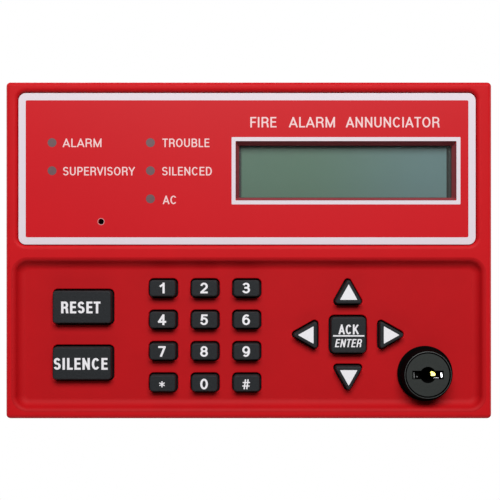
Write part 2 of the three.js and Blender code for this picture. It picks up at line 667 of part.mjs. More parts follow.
displayScrews.forEach(([x, y], i) => {
  add(`display_screw_${i + 1}`, panScrew(displayBoardBack - gap, displayBoard.thick), finishes.steel, x, y);
});
coverScrewSites.forEach((x, i) => add(`cover_screw_${i + 1}`, coverScrewPiece(x), finishes.steel));

const annunciator = new THREE.Group();
annunciator.rotation.x = Math.PI / 2;
annunciator.add(panelGroup);

export default annunciator;
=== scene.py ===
"""A wall-mounted fire alarm annunciator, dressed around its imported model.

Shapes are worked out in millimetres as seen from the front: x to the right, z up and d the distance from
the wall. A point (x, z, d) lies at (x, -d, z) in the frame's metres.
"""

import enum
import logging
import math
from dataclasses import dataclass, field

import bpy
import numpy as np
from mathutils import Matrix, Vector
from mathutils.geometry import delaunay_2d_cdt


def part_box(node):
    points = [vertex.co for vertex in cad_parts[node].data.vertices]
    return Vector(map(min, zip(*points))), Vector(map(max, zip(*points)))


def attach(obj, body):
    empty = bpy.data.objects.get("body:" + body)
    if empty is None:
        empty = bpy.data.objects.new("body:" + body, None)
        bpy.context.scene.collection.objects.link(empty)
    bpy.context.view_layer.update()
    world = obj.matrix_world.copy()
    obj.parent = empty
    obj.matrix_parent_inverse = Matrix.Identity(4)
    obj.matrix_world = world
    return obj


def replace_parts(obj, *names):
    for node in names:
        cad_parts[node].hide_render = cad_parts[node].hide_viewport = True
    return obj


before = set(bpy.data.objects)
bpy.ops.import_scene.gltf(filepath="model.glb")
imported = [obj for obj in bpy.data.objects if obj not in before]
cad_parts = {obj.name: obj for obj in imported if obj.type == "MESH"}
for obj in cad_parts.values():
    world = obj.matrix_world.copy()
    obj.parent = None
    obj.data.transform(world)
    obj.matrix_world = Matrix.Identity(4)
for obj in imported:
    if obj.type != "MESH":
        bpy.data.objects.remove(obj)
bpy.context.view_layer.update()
MM = 0.001
CREASE = math.radians(40.0)
HOLE_STEPS = 32
LOCK_STEPS = 96

log = logging.getLogger("annunciator")


# ---------------------------------------------------------------- outlines


@dataclass(frozen=True)
class RoundedPolygon:
    """A convex outline with round corners. Its corner points run anticlockwise, seen from the front."""

    corners: tuple[tuple[float, float], ...]
    radius: float
    steps: int = 8

    def ring(self, grow: float = 0.0) -> np.ndarray:
        """Works out the outline moved outwards by a distance.

        Each corner is an arc about a fixed centre, which lies on the corner's bisector at radius / sin(half
        the corner's angle). Only the arc's radius grows, so every ring of an outline has as many points.

        Args:
            grow: the distance outwards, or inwards where it is negative.

        Returns:
            The points, one row each, as x and z.
        """
        corner = np.array(self.corners, float)
        before = np.roll(corner, 1, axis=0) - corner
        after = np.roll(corner, -1, axis=0) - corner
        before /= np.linalg.norm(before, axis=1, keepdims=True)
        after /= np.linalg.norm(after, axis=1, keepdims=True)
        half = np.arccos((before * after).sum(1)) / 2
        bisector = before + after
        bisector /= np.linalg.norm(bisector, axis=1, keepdims=True)
        centre = corner + bisector * (self.radius / np.sin(half))[:, None]
        start = np.arctan2(-bisector[:, 1], -bisector[:, 0]) - (math.pi / 2 - half)
        sweep = (math.pi - 2 * half)[:, None] * np.linspace(0, 1, self.steps + 1)[None, :]
        angle = start[:, None] + sweep
        arc = np.stack([np.cos(angle), np.sin(angle)], axis=2) * max(self.radius + grow, 0.01)
        return (centre[:, None, :] + arc).reshape(-1, 2)


@dataclass(frozen=True)
class Disc:
    """A round outline."""

    x: float
    z: float
    radius: float
    steps: int = 48

    def ring(self, grow: float = 0.0) -> np.ndarray:
        """Computes the circle: x plus reach times cos(angle), and z plus reach times sin(angle).

        Args:
            grow: how far the outline moves outwards, in millimetres.

        Returns:
            The points anticlockwise, as rows of x and z.
        """
        angle = np.linspace(0, 2 * math.pi, self.steps, endpoint=False)
        reach = self.radius + grow
        return np.stack([self.x + reach * np.cos(angle), self.z + reach * np.sin(angle)], axis=1)


@dataclass(frozen=True)
class Keyway:
    """A round well with a slot across it, as in a keyswitch's face."""

    x: float
    z: float
    well: float
    half_length: float
    half_width: float
    steps: int = 14

    def ring(self, grow: float = 0.0) -> np.ndarray:
        """Joins the well's two arcs with the slot's two square ends.

        Args:
            grow: the distance outwards, added to the well's radius and to the slot's half sizes.

        Returns:
            The points anticlockwise, as rows of x and z.
        """
        radius, long, wide = self.well + grow, self.half_length + grow, self.half_width + grow
        meet = math.asin(wide / radius)
        angle = np.linspace(meet, math.pi - meet, self.steps)
        top = np.stack([radius * np.cos(angle), radius * np.sin(angle)], axis=1)
        points = np.concatenate([[[long, -wide], [long, wide]], top, [[-long, wide], [-long, -wide]], -top])
        return points + [self.x, self.z]


@dataclass(frozen=True)
class Keyhole:
    """A hanging hole: a round opening with a narrow slot that goes up from it."""

    x: float
    z: float
    radius: float
    slot: float
    rise: float
    steps: int = 24

    def ring(self, grow: float = 0.0) -> np.ndarray:
        """Joins the slot's round top to the opening's arc.

        Args:
            grow: the distance outwards, added to both radii.

        Returns:
            The points anticlockwise, as rows of x and z.
        """
        radius, slot = self.radius + grow, self.slot + grow
        meet = math.acos(slot / radius)
        top = np.linspace(0, math.pi, self.steps // 2)
        low = np.linspace(math.pi - meet, 2 * math.pi + meet, self.steps)
        arch = np.stack([slot * np.cos(top), self.rise + slot * np.sin(top)], axis=1)
        bowl = np.stack([radius * np.cos(low), radius * np.sin(low)], axis=1)
        return np.concatenate([arch, bowl]) + [self.x, self.z]


@dataclass(frozen=True)
class Cross:
    """A cross recess's outline, two equal arms."""

    x: float
    z: float
    arm: float
    half_width: float

    def ring(self, grow: float = 0.0) -> np.ndarray:
        """Computes the cross: one arm's three corners, turned by a quarter three times.

        Args:
            grow: how far the outline moves outwards, in millimetres.

        Returns:
            The twelve corners anticlockwise, as rows of x and z.
        """
        a, b = self.arm + grow, self.half_width + grow
        quarter = np.array([[a, -b], [a, b], [b, b]])
        turns = [quarter, quarter @ [[0, 1], [-1, 0]], -quarter, quarter @ [[0, -1], [1, 0]]]
        return np.concatenate(turns) + [self.x, self.z]


Outline = RoundedPolygon | Disc | Keyway | Keyhole | Cross


def rounded_rect(x: float, z: float, width: float, height: float, radius: float,
                 steps: int = 8) -> RoundedPolygon:
    """Makes a rectangle with round corners. Its ring starts at the bottom edge's right end.

    Args:
        x: its middle, to the right.
        z: its middle, up.
        width: its width over all.
        height: its height over all.
        radius: the corners' radius.
        steps: steps in each corner's arc.

    Returns:
        The outline.
    """
    left, right, low, high = x - width / 2, x + width / 2, z - height / 2, z + height / 2
    return RoundedPolygon(((right, low), (right, high), (left, high), (left, low)), radius, steps)


def arrow(x: float, z: float, wide: float, tall: float, radius: float, turn: int,
          steps: int = 8) -> RoundedPolygon:
    """Makes an isosceles triangle with round corners, centred half way up.

    Args:
        x: the centre, to the right.
        z: the centre, up.
        wide: the length of the base.
        tall: the height from the base to the sharp apex.
        radius: the corners' radius.
        turn: quarter turns to the left; 0 points up.
        steps: steps in each corner's arc.

    Returns:
        The outline.
    """
    angle = turn * math.pi / 2
    spin = np.array([[math.cos(angle), math.sin(angle)], [-math.sin(angle), math.cos(angle)]])
    points = np.array([[0, tall / 2], [-wide / 2, -tall / 2], [wide / 2, -tall / 2]]) @ spin + [x, z]
    return RoundedPolygon(tuple(map(tuple, points.tolist())), radius, steps)


def fillet(start: tuple[float, float], end: tuple[float, float], outward: bool, steps: int = 5) -> np.ndarray:
    """Works out a quarter of an ellipse between two stations of a wall's profile.

    Args:
        start: grow and d at the start.
        end: grow and d at the end.
        outward: True where the arc leaves start along d, and False where it leaves start along grow.
        steps: steps in the arc.

    Returns:
        The stations, one row each, as grow and d.
    """
    angle = np.linspace(0, math.pi / 2, steps + 1)
    slow, fast = 1 - np.cos(angle), np.sin(angle)
    across, along = (slow, fast) if outward else (fast, slow)
    (g0, d0), (g1, d1) = start, end
    return np.stack([g0 + (g1 - g0) * across, d0 + (d1 - d0) * along], axis=1)


def inside(points: np.ndarray, ring: np.ndarray) -> np.ndarray:
    """Tells which points lie inside a closed ring, by counting how often a ray to the right crosses it.

    Args:
        points: rows of x and z.
        ring: the ring's corners in order.

    Returns:
        One truth value for each point.
    """
    x, z = points[:, :1], points[:, 1:]
    x0, z0 = ring[:, 0][None], ring[:, 1][None]
    x1, z1 = np.roll(ring[:, 0], -1)[None], np.roll(ring[:, 1], -1)[None]
    spans = (z0 > z) != (z1 > z)
    rise = np.where(z1 == z0, 1e-12, z1 - z0)
    return ((spans & (x < x0 + (z - z0) / rise * (x1 - x0))).sum(1) % 2).astype(bool)


# ---------------------------------------------------------------- meshes


class Skin:
    """A closed surface built from rings, the walls between them and flat fills.

    A wall runs from one ring to the next along the surface: up the outside, over the front and down into a
    recess, or out along the underside. Its faces then point out of the material.
    """

    def __init__(self) -> None:
        """Starts with no points and no faces."""
        self.points: list[np.ndarray] = []
        self.faces: list[list[int]] = []
        self.marks: list[int] = []
        self.count = 0

    def add_points(self, points: np.ndarray) -> np.ndarray:
        """Adds points to the mesh.

        Args:
            points: rows of x, z and d.

        Returns:
            The points' numbers.
        """
        self.points.append(points)
        self.count += len(points)
        return np.arange(self.count - len(points), self.count)

    def ring(self, outline: Outline, grow: float, depth: float) -> np.ndarray:
        """Adds an outline's ring at a distance from the wall, and returns its points' numbers."""
        flat = outline.ring(grow)
        return self.add_points(np.column_stack([flat, np.full(len(flat), depth)]))

    def add_faces(self, faces: np.ndarray, mark: int = 0) -> None:
        """Adds faces as rows of point numbers, all with one material number."""
        self.faces.extend(faces.tolist())
        self.marks.extend([mark] * len(faces))

    def bridge(self, first: np.ndarray, second: np.ndarray, mark: int = 0, skip_last: bool = False) -> None:
        """Joins two rings with a strip of four-cornered faces.

        Args:
            first: the point numbers of the ring that the surface comes from.
            second: those of the ring that it goes to.
            mark: the faces' material number.
            skip_last: leaves out the face that closes the strip.
        """
        strip = np.column_stack([first, np.roll(first, -1), np.roll(second, -1), second])
        self.add_faces(strip[:-1] if skip_last else strip, mark)

    def wall(self, outline: Outline, stations: np.ndarray, start: np.ndarray | None = None,
             mark: int = 0) -> np.ndarray:
        """Carries an outline through stations, each a grow and a d, and bridges them in turn.

        Args:
            outline: the outline that is carried.
            stations: rows of grow and d.
            start: the point numbers of a ring that already stands at the first station.
            mark: the faces' material number.

        Returns:
            The last ring's point numbers.
        """
        last = self.ring(outline, *stations[0]) if start is None else start
        for grow, depth in stations[1:]:
            following = self.ring(outline, grow, depth)
            self.bridge(last, following, mark)
            last = following
        return last

    def all_points(self) -> np.ndarray:
        """Returns every point so far, as rows of x, z and d."""
        return np.concatenate(self.points)

    def fill(self, outer: np.ndarray, holes: list[np.ndarray], facing_front: bool = True,
             plane: tuple[int, int] = (0, 1), mark: int = 0,
             marks: list[tuple[np.ndarray, int]] | None = None) -> None:
        """Fills the flat space between an outer ring and its holes with triangles.

        The rings are edges of a Delaunay triangulation, whose triangles are kept where their middles lie
        inside the outer ring and outside every hole.

        Args:
            outer: the outer ring's point numbers.
            holes: each hole's point numbers.
            facing_front: whether the faces are anticlockwise in the plane's two axes.
            plane: which two of x, z and d the flat space lies in.
            mark: the faces' material number.
            marks: rings inside the space, each with the material number of what it encloses.
        """
        marks = marks or []
        rings = [outer, *holes, *(ring for ring, _ in marks)]
        every = self.all_points()
        numbers = np.concatenate(rings)
        flat = every[numbers][:, list(plane)]
        lengths = np.array([len(ring) for ring in rings])
        starts = np.repeat(np.cumsum(lengths) - lengths, lengths)
        place = np.arange(len(numbers)) - starts
        following = starts + (place + 1) % np.repeat(lengths, lengths)
        edges = np.column_stack([np.arange(len(numbers)), following]).tolist()
        result = delaunay_2d_cdt([Vector(p) for p in flat.tolist()], edges, [], 0, 1e-7, True)
        source = np.array([ids[0] for ids in result[3]])
        triangles = source[np.array(result[2])]
        middle = flat[triangles].mean(1)
        keep = inside(middle, every[outer][:, list(plane)])
        for hole in holes:
            keep &= ~inside(middle, every[hole][:, list(plane)])
        triangles, middle = triangles[keep], middle[keep]
        corner = flat[triangles]
        one, two = corner[:, 1] - corner[:, 0], corner[:, 2] - corner[:, 0]
        turned = (one[:, 0] * two[:, 1] - one[:, 1] * two[:, 0] > 0) != facing_front
        triangles[turned] = triangles[turned][:, ::-1]
        chosen = np.full(len(triangles), mark)
        for ring, value in marks:
            chosen[inside(middle, every[ring][:, list(plane)])] = value
        self.faces.extend(numbers[triangles].tolist())
        self.marks.extend(chosen.tolist())

    def piece(self, name: str, body: str, finishes: list[bpy.types.Material], slot: str,
              smooth: bool = True) -> bpy.types.Object:
        """Turns the surface into a piece of the object.

        Args:
            name: the piece's name.
            body: the body that it rides on.
            finishes: its materials, in the order of the faces' material numbers.
            slot: not used.
            smooth: whether its faces are shaded smooth.

        Returns:
            The piece.
        """
        points = self.all_points()
        placed = np.column_stack([points[:, 0], -points[:, 2], points[:, 1]]) * MM
        return make_piece(name, placed, self.faces, body, finishes, self.marks, smooth)


def make_piece(name: str, points: np.ndarray, faces: list[list[int]], body: str,
               finishes: list[bpy.types.Material], marks: list[int] | None = None,
               smooth: bool = True) -> bpy.types.Object:
    """Makes a mesh piece from points in metres, dresses it and lets it ride on its body.

    Args:
        name: the piece's name.
        points: rows of x, y and z in the frame.
        faces: lists of point numbers, anticlockwise from outside.
        body: the body that it rides on.
        finishes: its materials.
        marks: each face's material number.
        smooth: whether its faces are shaded smooth, up to an edge of more than CREASE.

    Returns:
        The piece.
    """
    mesh = bpy.data.meshes.new(name)
    mesh.from_pydata(points, [], faces)
    for finish in finishes:
        mesh.materials.append(finish)
    if marks is not None:
        mesh.polygons.foreach_set("material_index", np.array(marks, np.int32))
    mesh.polygons.foreach_set("use_smooth", np.full(len(mesh.polygons), smooth))
    mesh.validate()
    mesh.update()
    if smooth:
        mesh.set_sharp_from_angle(angle=CREASE)
    piece = bpy.data.objects.new(name, mesh)
    bpy.context.scene.collection.objects.link(piece)
    if smooth:
        even = piece.modifiers.new("flat faces stay flat", "WEIGHTED_NORMAL")
        even.keep_sharp = True
        even.weight = 100
    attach(piece, body)
    log.info("%s: %d points, %d faces", name, len(points), len(faces))
    return piece


def revolved(profile: np.ndarray, x: float, z: float, marked: range) -> Skin:
    """Turns a closed profile about an axis that stands on the wall.

    The point at profile step i and turn j is (x + r cos a, z + r sin a, d), with r and d from the profile
    and a going once round.

    Args:
        profile: rows of radius and d, in order along the surface, rear to front on its outside.
        x: the axis's place, to the right.
        z: the axis's place, up.
        marked: the profile's steps whose faces take the second material.

    Returns:
        The closed surface.
    """
    skin = Skin()
    rings = [skin.ring(Disc(x, z, 0.0, LOCK_STEPS), radius, depth) for radius, depth in profile]
    for step, (first, second) in enumerate(zip(rings, rings[1:] + rings[:1])):
        skin.bridge(first, second, mark=int(step in marked))
    return skin


def slab(outline: Outline, rear: float, front: float, edge: float) -> Skin:
    """Makes a flat plate of an outline, with rounded front and rear edges.

    Args:
        outline: the plate's outline.
        rear: the rear face's d.
        front: the front face's d.
        edge: the edges' radius.

    Returns:
        The closed surface.
    """
    skin = Skin()
    stations = np.concatenate([
        fillet((-edge, rear), (0, rear + edge), False, 3),
        fillet((0, front - edge), (-edge, front), True, 3),
    ])
    first = skin.ring(outline, *stations[0])
    last = skin.wall(outline, stations, first)
    skin.fill(first, [], False)
    skin.fill(last, [])
    return skin


@dataclass(frozen=True)
class Pen:
    """A flat pen that draws a glyph's strokes in a cell whose capital height is 1.

    Args:
        weight: the width of an upright stroke, as a share of the height.
        flat: the thickness of a level stroke, as a share of the weight.
        wide: the width of the glyph's cell.
    """

    weight: float
    flat: float
    wide: float

    def ribbon(self, centre: np.ndarray, closed: bool) -> np.ndarray:
        """Thickens a centre line into an outline.

        The line's points run from 0 to 1 across the cell's inside, and each side lies half the pen away along
        the line's normal, of which the level part counts whole and the upright part by the pen's flatness.

        Args:
            centre: the centre line's points, as shares of the cell.
            closed: whether the line is a whole ellipse.

        Returns:
            The outline's points.
        """
        half = np.array([self.weight, self.weight * self.flat]) / 2
        room = np.maximum(np.array([self.wide, 1.0]) - 2 * half, 0)
        placed = half + centre * room
        ahead, behind = (np.roll(placed, -1, 0), np.roll(placed, 1, 0)) if closed else (
            np.vstack([placed[1:], placed[-1:]]), np.vstack([placed[:1], placed[:-1]]))
        along = ahead - behind
        along /= np.maximum(np.linalg.norm(along, axis=1, keepdims=True), 1e-9)
        side = np.column_stack([-along[:, 1], along[:, 0]]) * half
        if closed:
            placed, side = np.vstack([placed, placed[:1]]), np.vstack([side, side[:1]])
        return np.vstack([placed + side, (placed - side)[::-1]])

    def stroke(self, numbers: tuple[float, ...]) -> np.ndarray:
        """Draws one stroke: a straight one from four numbers, or part of an ellipse from six.

        A straight stroke runs from (x0, z0) to (x1, z1) and half the pen past both. A round one has its
        middle, its two radii and its two angles in degrees.

        Args:
            numbers: the stroke.

        Returns:
            The outline's points.
        """
        if len(numbers) == 4:
            ends = np.array(numbers).reshape(2, 2)
            half = np.array([self.weight, self.weight * self.flat]) / 2
            room = np.maximum(np.array([self.wide, 1.0]) - 2 * half, 1e-3)
            step = (ends[1] - ends[0]) * room
            step = step / np.linalg.norm(step) * half / room
            return self.ribbon(np.array([ends[0] - step, ends[1] + step]), False)
        x, z, across, up, start, end = numbers
        whole = abs(end - start) >= 360
        angle = np.radians(np.linspace(start, end, 33 if whole else 19))
        points = np.column_stack([x + across * np.cos(angle), z + up * np.sin(angle)])
        return self.ribbon(points[:-1] if whole else points, whole)


# Each glyph of the plain grotesque face: its cell's width, the room on its left and right, and its strokes.
GLYPHS: dict[str, tuple[float, float, float, tuple[tuple[float, ...], ...]]] = {
    "A": (0.90, 0.01, 0.01, ((0, 0, 0.5, 1), (0.5, 1, 1, 0), (0.2, 0.27, 0.8, 0.27))),
    "B": (0.78, 0.09, 0.05, ((0, 0, 0, 1), (0, 1, 0.5, 1), (0, 0.53, 0.5, 0.53), (0, 0, 0.55, 0),
                             (0.55, 0.765, 0.38, 0.235, -90, 90), (0.58, 0.265, 0.42, 0.265, -90, 90))),
    "C": (0.84, 0.06, 0.05, ((0.52, 0.5, 0.52, 0.5, 38, 322),)),
    "D": (0.80, 0.09, 0.06, ((0, 0, 0, 1), (0, 1, 0.4, 1), (0, 0, 0.4, 0), (0.42, 0.5, 0.58, 0.5, -90, 90))),
    "E": (0.68, 0.09, 0.04, ((0, 0, 0, 1), (0, 1, 0.95, 1), (0, 0.53, 0.88, 0.53), (0, 0, 1, 0))),
    "F": (0.66, 0.09, 0.02, ((0, 0, 0, 1), (0, 1, 1, 1), (0, 0.5, 0.85, 0.5))),
    "I": (0.0, 0.09, 0.09, ((0, 0, 0, 1),)),
    "K": (0.84, 0.09, 0.0, ((0, 0, 0, 1), (0.05, 0.36, 0.92, 1), (0.36, 0.6, 1, 0))),
    "L": (0.62, 0.09, 0.02, ((0, 0, 0, 1), (0, 0, 1, 0))),
    "M": (0.98, 0.09, 0.09, ((0, 0, 0, 1), (0, 1, 0.5, 0), (0.5, 0, 1, 1), (1, 1, 1, 0))),
    "N": (0.80, 0.09, 0.09, ((0, 0, 0, 1), (0, 1, 1, 0), (1, 0, 1, 1))),
    "O": (0.90, 0.06, 0.06, ((0.5, 0.5, 0.5, 0.5, 0, 360),)),
    "P": (0.74, 0.09, 0.03, ((0, 0, 0, 1), (0, 1, 0.55, 1), (0, 0.46, 0.55, 0.46),
                             (0.58, 0.73, 0.42, 0.27, -90, 90))),
    "R": (0.80, 0.09, 0.03, ((0, 0, 0, 1), (0, 1, 0.55, 1), (0, 0.48, 0.55, 0.48),
                             (0.56, 0.74, 0.38, 0.26, -90, 90), (0.55, 0.24, 0.37, 0.24, 0, 90),
                             (0.92, 0.24, 0.97, 0))),
    "S": (0.76, 0.05, 0.05, ((0.5, 0.76, 0.46, 0.24, 18, 270), (0.5, 0.26, 0.5, 0.26, -162, 90))),
    "T": (0.74, 0.02, 0.02, ((0, 1, 1, 1), (0.5, 0, 0.5, 1))),
    "U": (0.80, 0.08, 0.08, ((0, 0.34, 0, 1), (1, 0.34, 1, 1), (0.5, 0.34, 0.5, 0.34, 180, 360))),
    "V": (0.86, 0.01, 0.01, ((0, 1, 0.5, 0), (0.5, 0, 1, 1))),
    "Y": (0.86, 0.01, 0.01, ((0, 1, 0.5, 0.42), (0.5, 0.42, 1, 1), (0.5, 0, 0.5, 0.4))),
    "0": (0.72, 0.05, 0.05, ((0.5, 0.5, 0.5, 0.5, 0, 360),)),
    "1": (0.46, 0.05, 0.05, ((1, 0, 1, 1), (0.06, 0.72, 0.8, 0.9))),
    "2": (0.70, 0.05, 0.05, ((0.5, 0.7, 0.48, 0.3, -22, 172), (0.9, 0.54, 0.1, 0.06), (0.02, 0, 0.98, 0))),
    "3": (0.70, 0.05, 0.05, ((0.48, 0.76, 0.45, 0.24, -90, 165), (0.48, 0.27, 0.52, 0.27, -165, 90),
                             (0.38, 0.53, 0.5, 0.53))),
    "4": (0.74, 0.05, 0.05, ((0.72, 0, 0.72, 1), (0.02, 0.26, 1, 0.26), (0.05, 0.3, 0.66, 0.98))),
    "5": (0.70, 0.05, 0.05, ((0.2, 1, 0.92, 1), (0.17, 0.96, 0.09, 0.5),
                             (0.47, 0.33, 0.52, 0.33, -162, 138))),
    "6": (0.70, 0.05, 0.05, ((0.5, 0.32, 0.5, 0.32, 0, 360), (0.56, 0.5, 0.56, 0.5, 52, 200))),
    "7": (0.70, 0.05, 0.05, ((0, 1, 0.96, 1), (0.92, 0.92, 0.34, 0))),
    "8": (0.72, 0.05, 0.05, ((0.5, 0.765, 0.43, 0.235, 0, 360), (0.5, 0.27, 0.5, 0.27, 0, 360))),
    "9": (0.70, 0.05, 0.05, ((0.5, 0.68, 0.5, 0.32, 0, 360), (0.44, 0.5, 0.56, 0.5, -128, 20))),
    "*": (1.00, 0.05, 0.05, ((0.5, 0.06, 0.5, 0.94), (0.1, 0.28, 0.9, 0.72), (0.1, 0.72, 0.9, 0.28))),
    "#": (0.84, 0.05, 0.05, ((0.22, 0.02, 0.4, 0.98), (0.6, 0.02, 0.78, 0.98), (0.04, 0.31, 0.9, 0.31),
                             (0.1, 0.69, 0.96, 0.69))),
}
GLYPH_GAP = 0.06
PEN_FLATNESS = 0.86


def solid_of(strokes: list[np.ndarray]) -> tuple[np.ndarray, list[list[int]]]:
    """Joins overlapping stroke outlines into one flat solid, cut off at the letters' foot and top.

    The outlines and a long box, as tall as the letters, are edges of one triangulation. A triangle belongs to
    the letters where its middle lies in the box and in any outline. Edges that belong to one triangle only
    get a side wall.

    Args:
        strokes: the outlines.

    Returns:
        Rows of x, z and a height from 0 to 1, and the faces.
    """
    every = np.vstack(strokes)
    left, right = every[:, 0].min() - 1, every[:, 0].max() + 1
    frame = np.array([[left, 0.0], [right, 0.0], [right, 1.0], [left, 1.0]])
    rings = [*strokes, frame]
    lengths = np.array([len(ring) for ring in rings])
    starts = np.repeat(np.cumsum(lengths) - lengths, lengths)
    number = np.arange(lengths.sum())
    following = starts + (number - starts + 1) % np.repeat(lengths, lengths)
    result = delaunay_2d_cdt([Vector(p) for p in np.vstack(rings).tolist()],
                             np.column_stack([number, following]).tolist(), [], 0, 1e-6, False)
    flat = np.array([tuple(point) for point in result[0]])
    triangles = np.array(result[2])
    middle = flat[triangles].mean(1)
    drawn = np.any([inside(middle, ring) for ring in strokes], axis=0) & inside(middle, frame)
    corner = flat[triangles]
    one, two = corner[:, 1] - corner[:, 0], corner[:, 2] - corner[:, 0]
    area = one[:, 0] * two[:, 1] - one[:, 1] * two[:, 0]
    triangles[area < 0] = triangles[area < 0][:, ::-1]
    triangles = triangles[drawn & (np.abs(area) > 1e-9)]
    edges = np.vstack([triangles[:, [0, 1]], triangles[:, [1, 2]], triangles[:, [2, 0]]])
    count = len(flat)
    lone = ~np.isin(edges[:, 0] * count + edges[:, 1], edges[:, 1] * count + edges[:, 0])
    side = edges[lone]
    walls = np.column_stack([side[:, 0], side[:, 0] + count, side[:, 1] + count, side[:, 1]])
    faces = [*(triangles[:, ::-1]).tolist(), *(triangles + count).tolist(), *walls[:, ::-1].tolist()]
    used, places = np.unique(np.concatenate([np.array(face) for face in faces]), return_inverse=True)
    solid = np.vstack([np.column_stack([flat, np.full(count, height)]) for height in (0.0, 1.0)])[used]
    cuts = np.cumsum([len(face) for face in faces])[:-1]
    return solid, [block.tolist() for block in np.split(places, cuts)]


def lettering(text: str, x: float, z: float, width: float, height: float, weight: float = 0.15,
              slant: float = 0.0) -> tuple[np.ndarray, list[list[int]]]:
    """Draws a word in a plain grotesque face, with cells narrowed until the word has the asked width.

    Args:
        text: the word.
        x: its middle, to the right.
        z: its middle, up.
        width: its width over all.
        height: its height.
        weight: the width of its upright strokes, as a share of the height.
        slant: how far its top leans right, as a share of the height.

    Returns:
        The solid letters' points as rows of x, z and a height from 0 to 1, and their faces.
    """
    cells = [GLYPHS[letter] for letter in text]
    natural = sum(wide + left + right for wide, left, right, _ in cells) + GLYPH_GAP * (len(cells) - 1)
    natural -= cells[0][1] + cells[-1][2]
    upright = weight * sum(wide == 0 for wide, *_ in cells)
    squeeze = ((width / height - abs(slant)) - upright) / natural
    place = -cells[0][1] * squeeze
    outlines = []
    for wide, left, right, strokes in cells:
        pen = Pen(weight, PEN_FLATNESS, wide * squeeze or weight)
        place += left * squeeze
        outlines += [pen.stroke(numbers) + [place, 0] for numbers in strokes]
        place += pen.wide + (right + GLYPH_GAP) * squeeze
    points, faces = solid_of(outlines)
    low, high = points[:, 0].min(), points[:, 0].max()
    across = (points[:, 0] - (low + high) / 2) + slant * (points[:, 1] - 0.5)
    return np.column_stack([x + across * height, z + (points[:, 1] - 0.5) * height, points[:, 2]]), faces


# ---------------------------------------------------------------- finishes


def linear(code: str) -> tuple[float, float, float, float]:
    """Turns an sRGB hex colour into a linear one.

    Args:
        code: six hex digits, such as c8242b.

    Returns:
        Linear red, green and blue, and an alpha of 1.
    """
    value = np.array([int(code[i:i + 2], 16) for i in (0, 2, 4)]) / 255
    value = np.where(value <= 0.04045, value / 12.92, ((value + 0.055) / 1.055) ** 2.4)
    return (*value.tolist(), 1.0)


def add_node(tree: bpy.types.NodeTree, kind: str, inputs: dict | None = None,
             **settings: object) -> bpy.types.Node:
    """Adds a node, sets what it is given and links what is a socket.

    Args:
        tree: the material's node tree.
        kind: the node's type.
        inputs: a value or another node's output for each input, by name or number.
        settings: the node's own properties.

    Returns:
        The node.
    """
    node = tree.nodes.new(kind)
    for name, value in settings.items():
        setattr(node, name, value)
    for name, value in (inputs or {}).items():
        if isinstance(value, bpy.types.NodeSocket):
            tree.links.new(value, node.inputs[name])
        else:
            node.inputs[name].default_value = value
    return node


@dataclass(frozen=True)
class Finish:
    """A surface with a fine grain: a base colour that drifts a little, and bumps of a real size.

    Args:
        name: the finish's name.
        colour: its colour as sRGB hex.
        roughness: its mean roughness.
        grain: the size of its bumps in millimetres.
        relief: the bumps' height in millimetres.
        drift: how far the colour moves lighter and darker, as a share.
        patch: the size of the colour's patches in millimetres.
        ior: its index of refraction.
        metallic: 1 for a metal.
        alpha: how opaque it is.
        gloss: the strength of its reflection, where 0.5 is what its index gives.
    """

    name: str
    colour: str
    roughness: float
    grain: float = 0.6
    relief: float = 0.01
    drift: float = 0.04
    patch: float = 9.0
    ior: float = 1.5
    metallic: float = 0.0
    alpha: float = 1.0
    gloss: float = 0.5

    def colours(self, tree: bpy.types.NodeTree, place: bpy.types.NodeSocket) -> bpy.types.NodeSocket:
        """Adds the colour's nodes: two close tones that a slow noise mixes.

        Args:
            tree: the material's node tree.
            place: the socket with the point on the piece, in metres.

        Returns:
            The socket that gives the colour.
        """
        patches = add_node(tree, "ShaderNodeTexNoise", {
            "Vector": place, "Scale": 1 / (self.patch * MM), "Detail": 3.0, "Roughness": 0.6,
        })
        base = np.array(linear(self.colour)[:3])
        dark, light = ([*np.clip(base * (1 + side * self.drift), 0, 1).tolist(), 1.0] for side in (-1, 1))
        mixed = add_node(tree, "ShaderNodeMix", {0: patches.outputs["Fac"], 6: dark, 7: light},
                         data_type="RGBA")
        return mixed.outputs[2]

    def build(self) -> bpy.types.Material:
        """Makes the material: drifting colour, and grain in the bump and the roughness.

        Returns:
            The material.
        """
        material = bpy.data.materials.new(self.name)
        material.use_nodes = True
        tree = material.node_tree
        tree.nodes.clear()
        place = add_node(tree, "ShaderNodeTexCoord").outputs["Object"]
        grain = add_node(tree, "ShaderNodeTexNoise", {
            "Vector": place, "Scale": 1 / (self.grain * MM), "Detail": 2.0, "Roughness": 0.55,
        })
        bump = add_node(tree, "ShaderNodeBump", {
            "Height": grain.outputs["Fac"], "Distance": self.relief * MM, "Strength": 1.0,
        })
        rough = add_node(tree, "ShaderNodeMapRange", {
            "Value": grain.outputs["Fac"], "To Min": self.roughness * 0.88,
            "To Max": min(self.roughness * 1.12, 1.0),
        })
        shader = add_node(tree, "ShaderNodeBsdfPrincipled", {
            "Base Color": self.colours(tree, place), "Roughness": rough.outputs["Result"],
            "Normal": bump.outputs["Normal"], "IOR": self.ior, "Metallic": self.metallic,
            "Alpha": self.alpha, "Specular IOR Level": self.gloss,
        })
        add_node(tree, "ShaderNodeOutputMaterial", {"Surface": shader.outputs["BSDF"]})
        return material


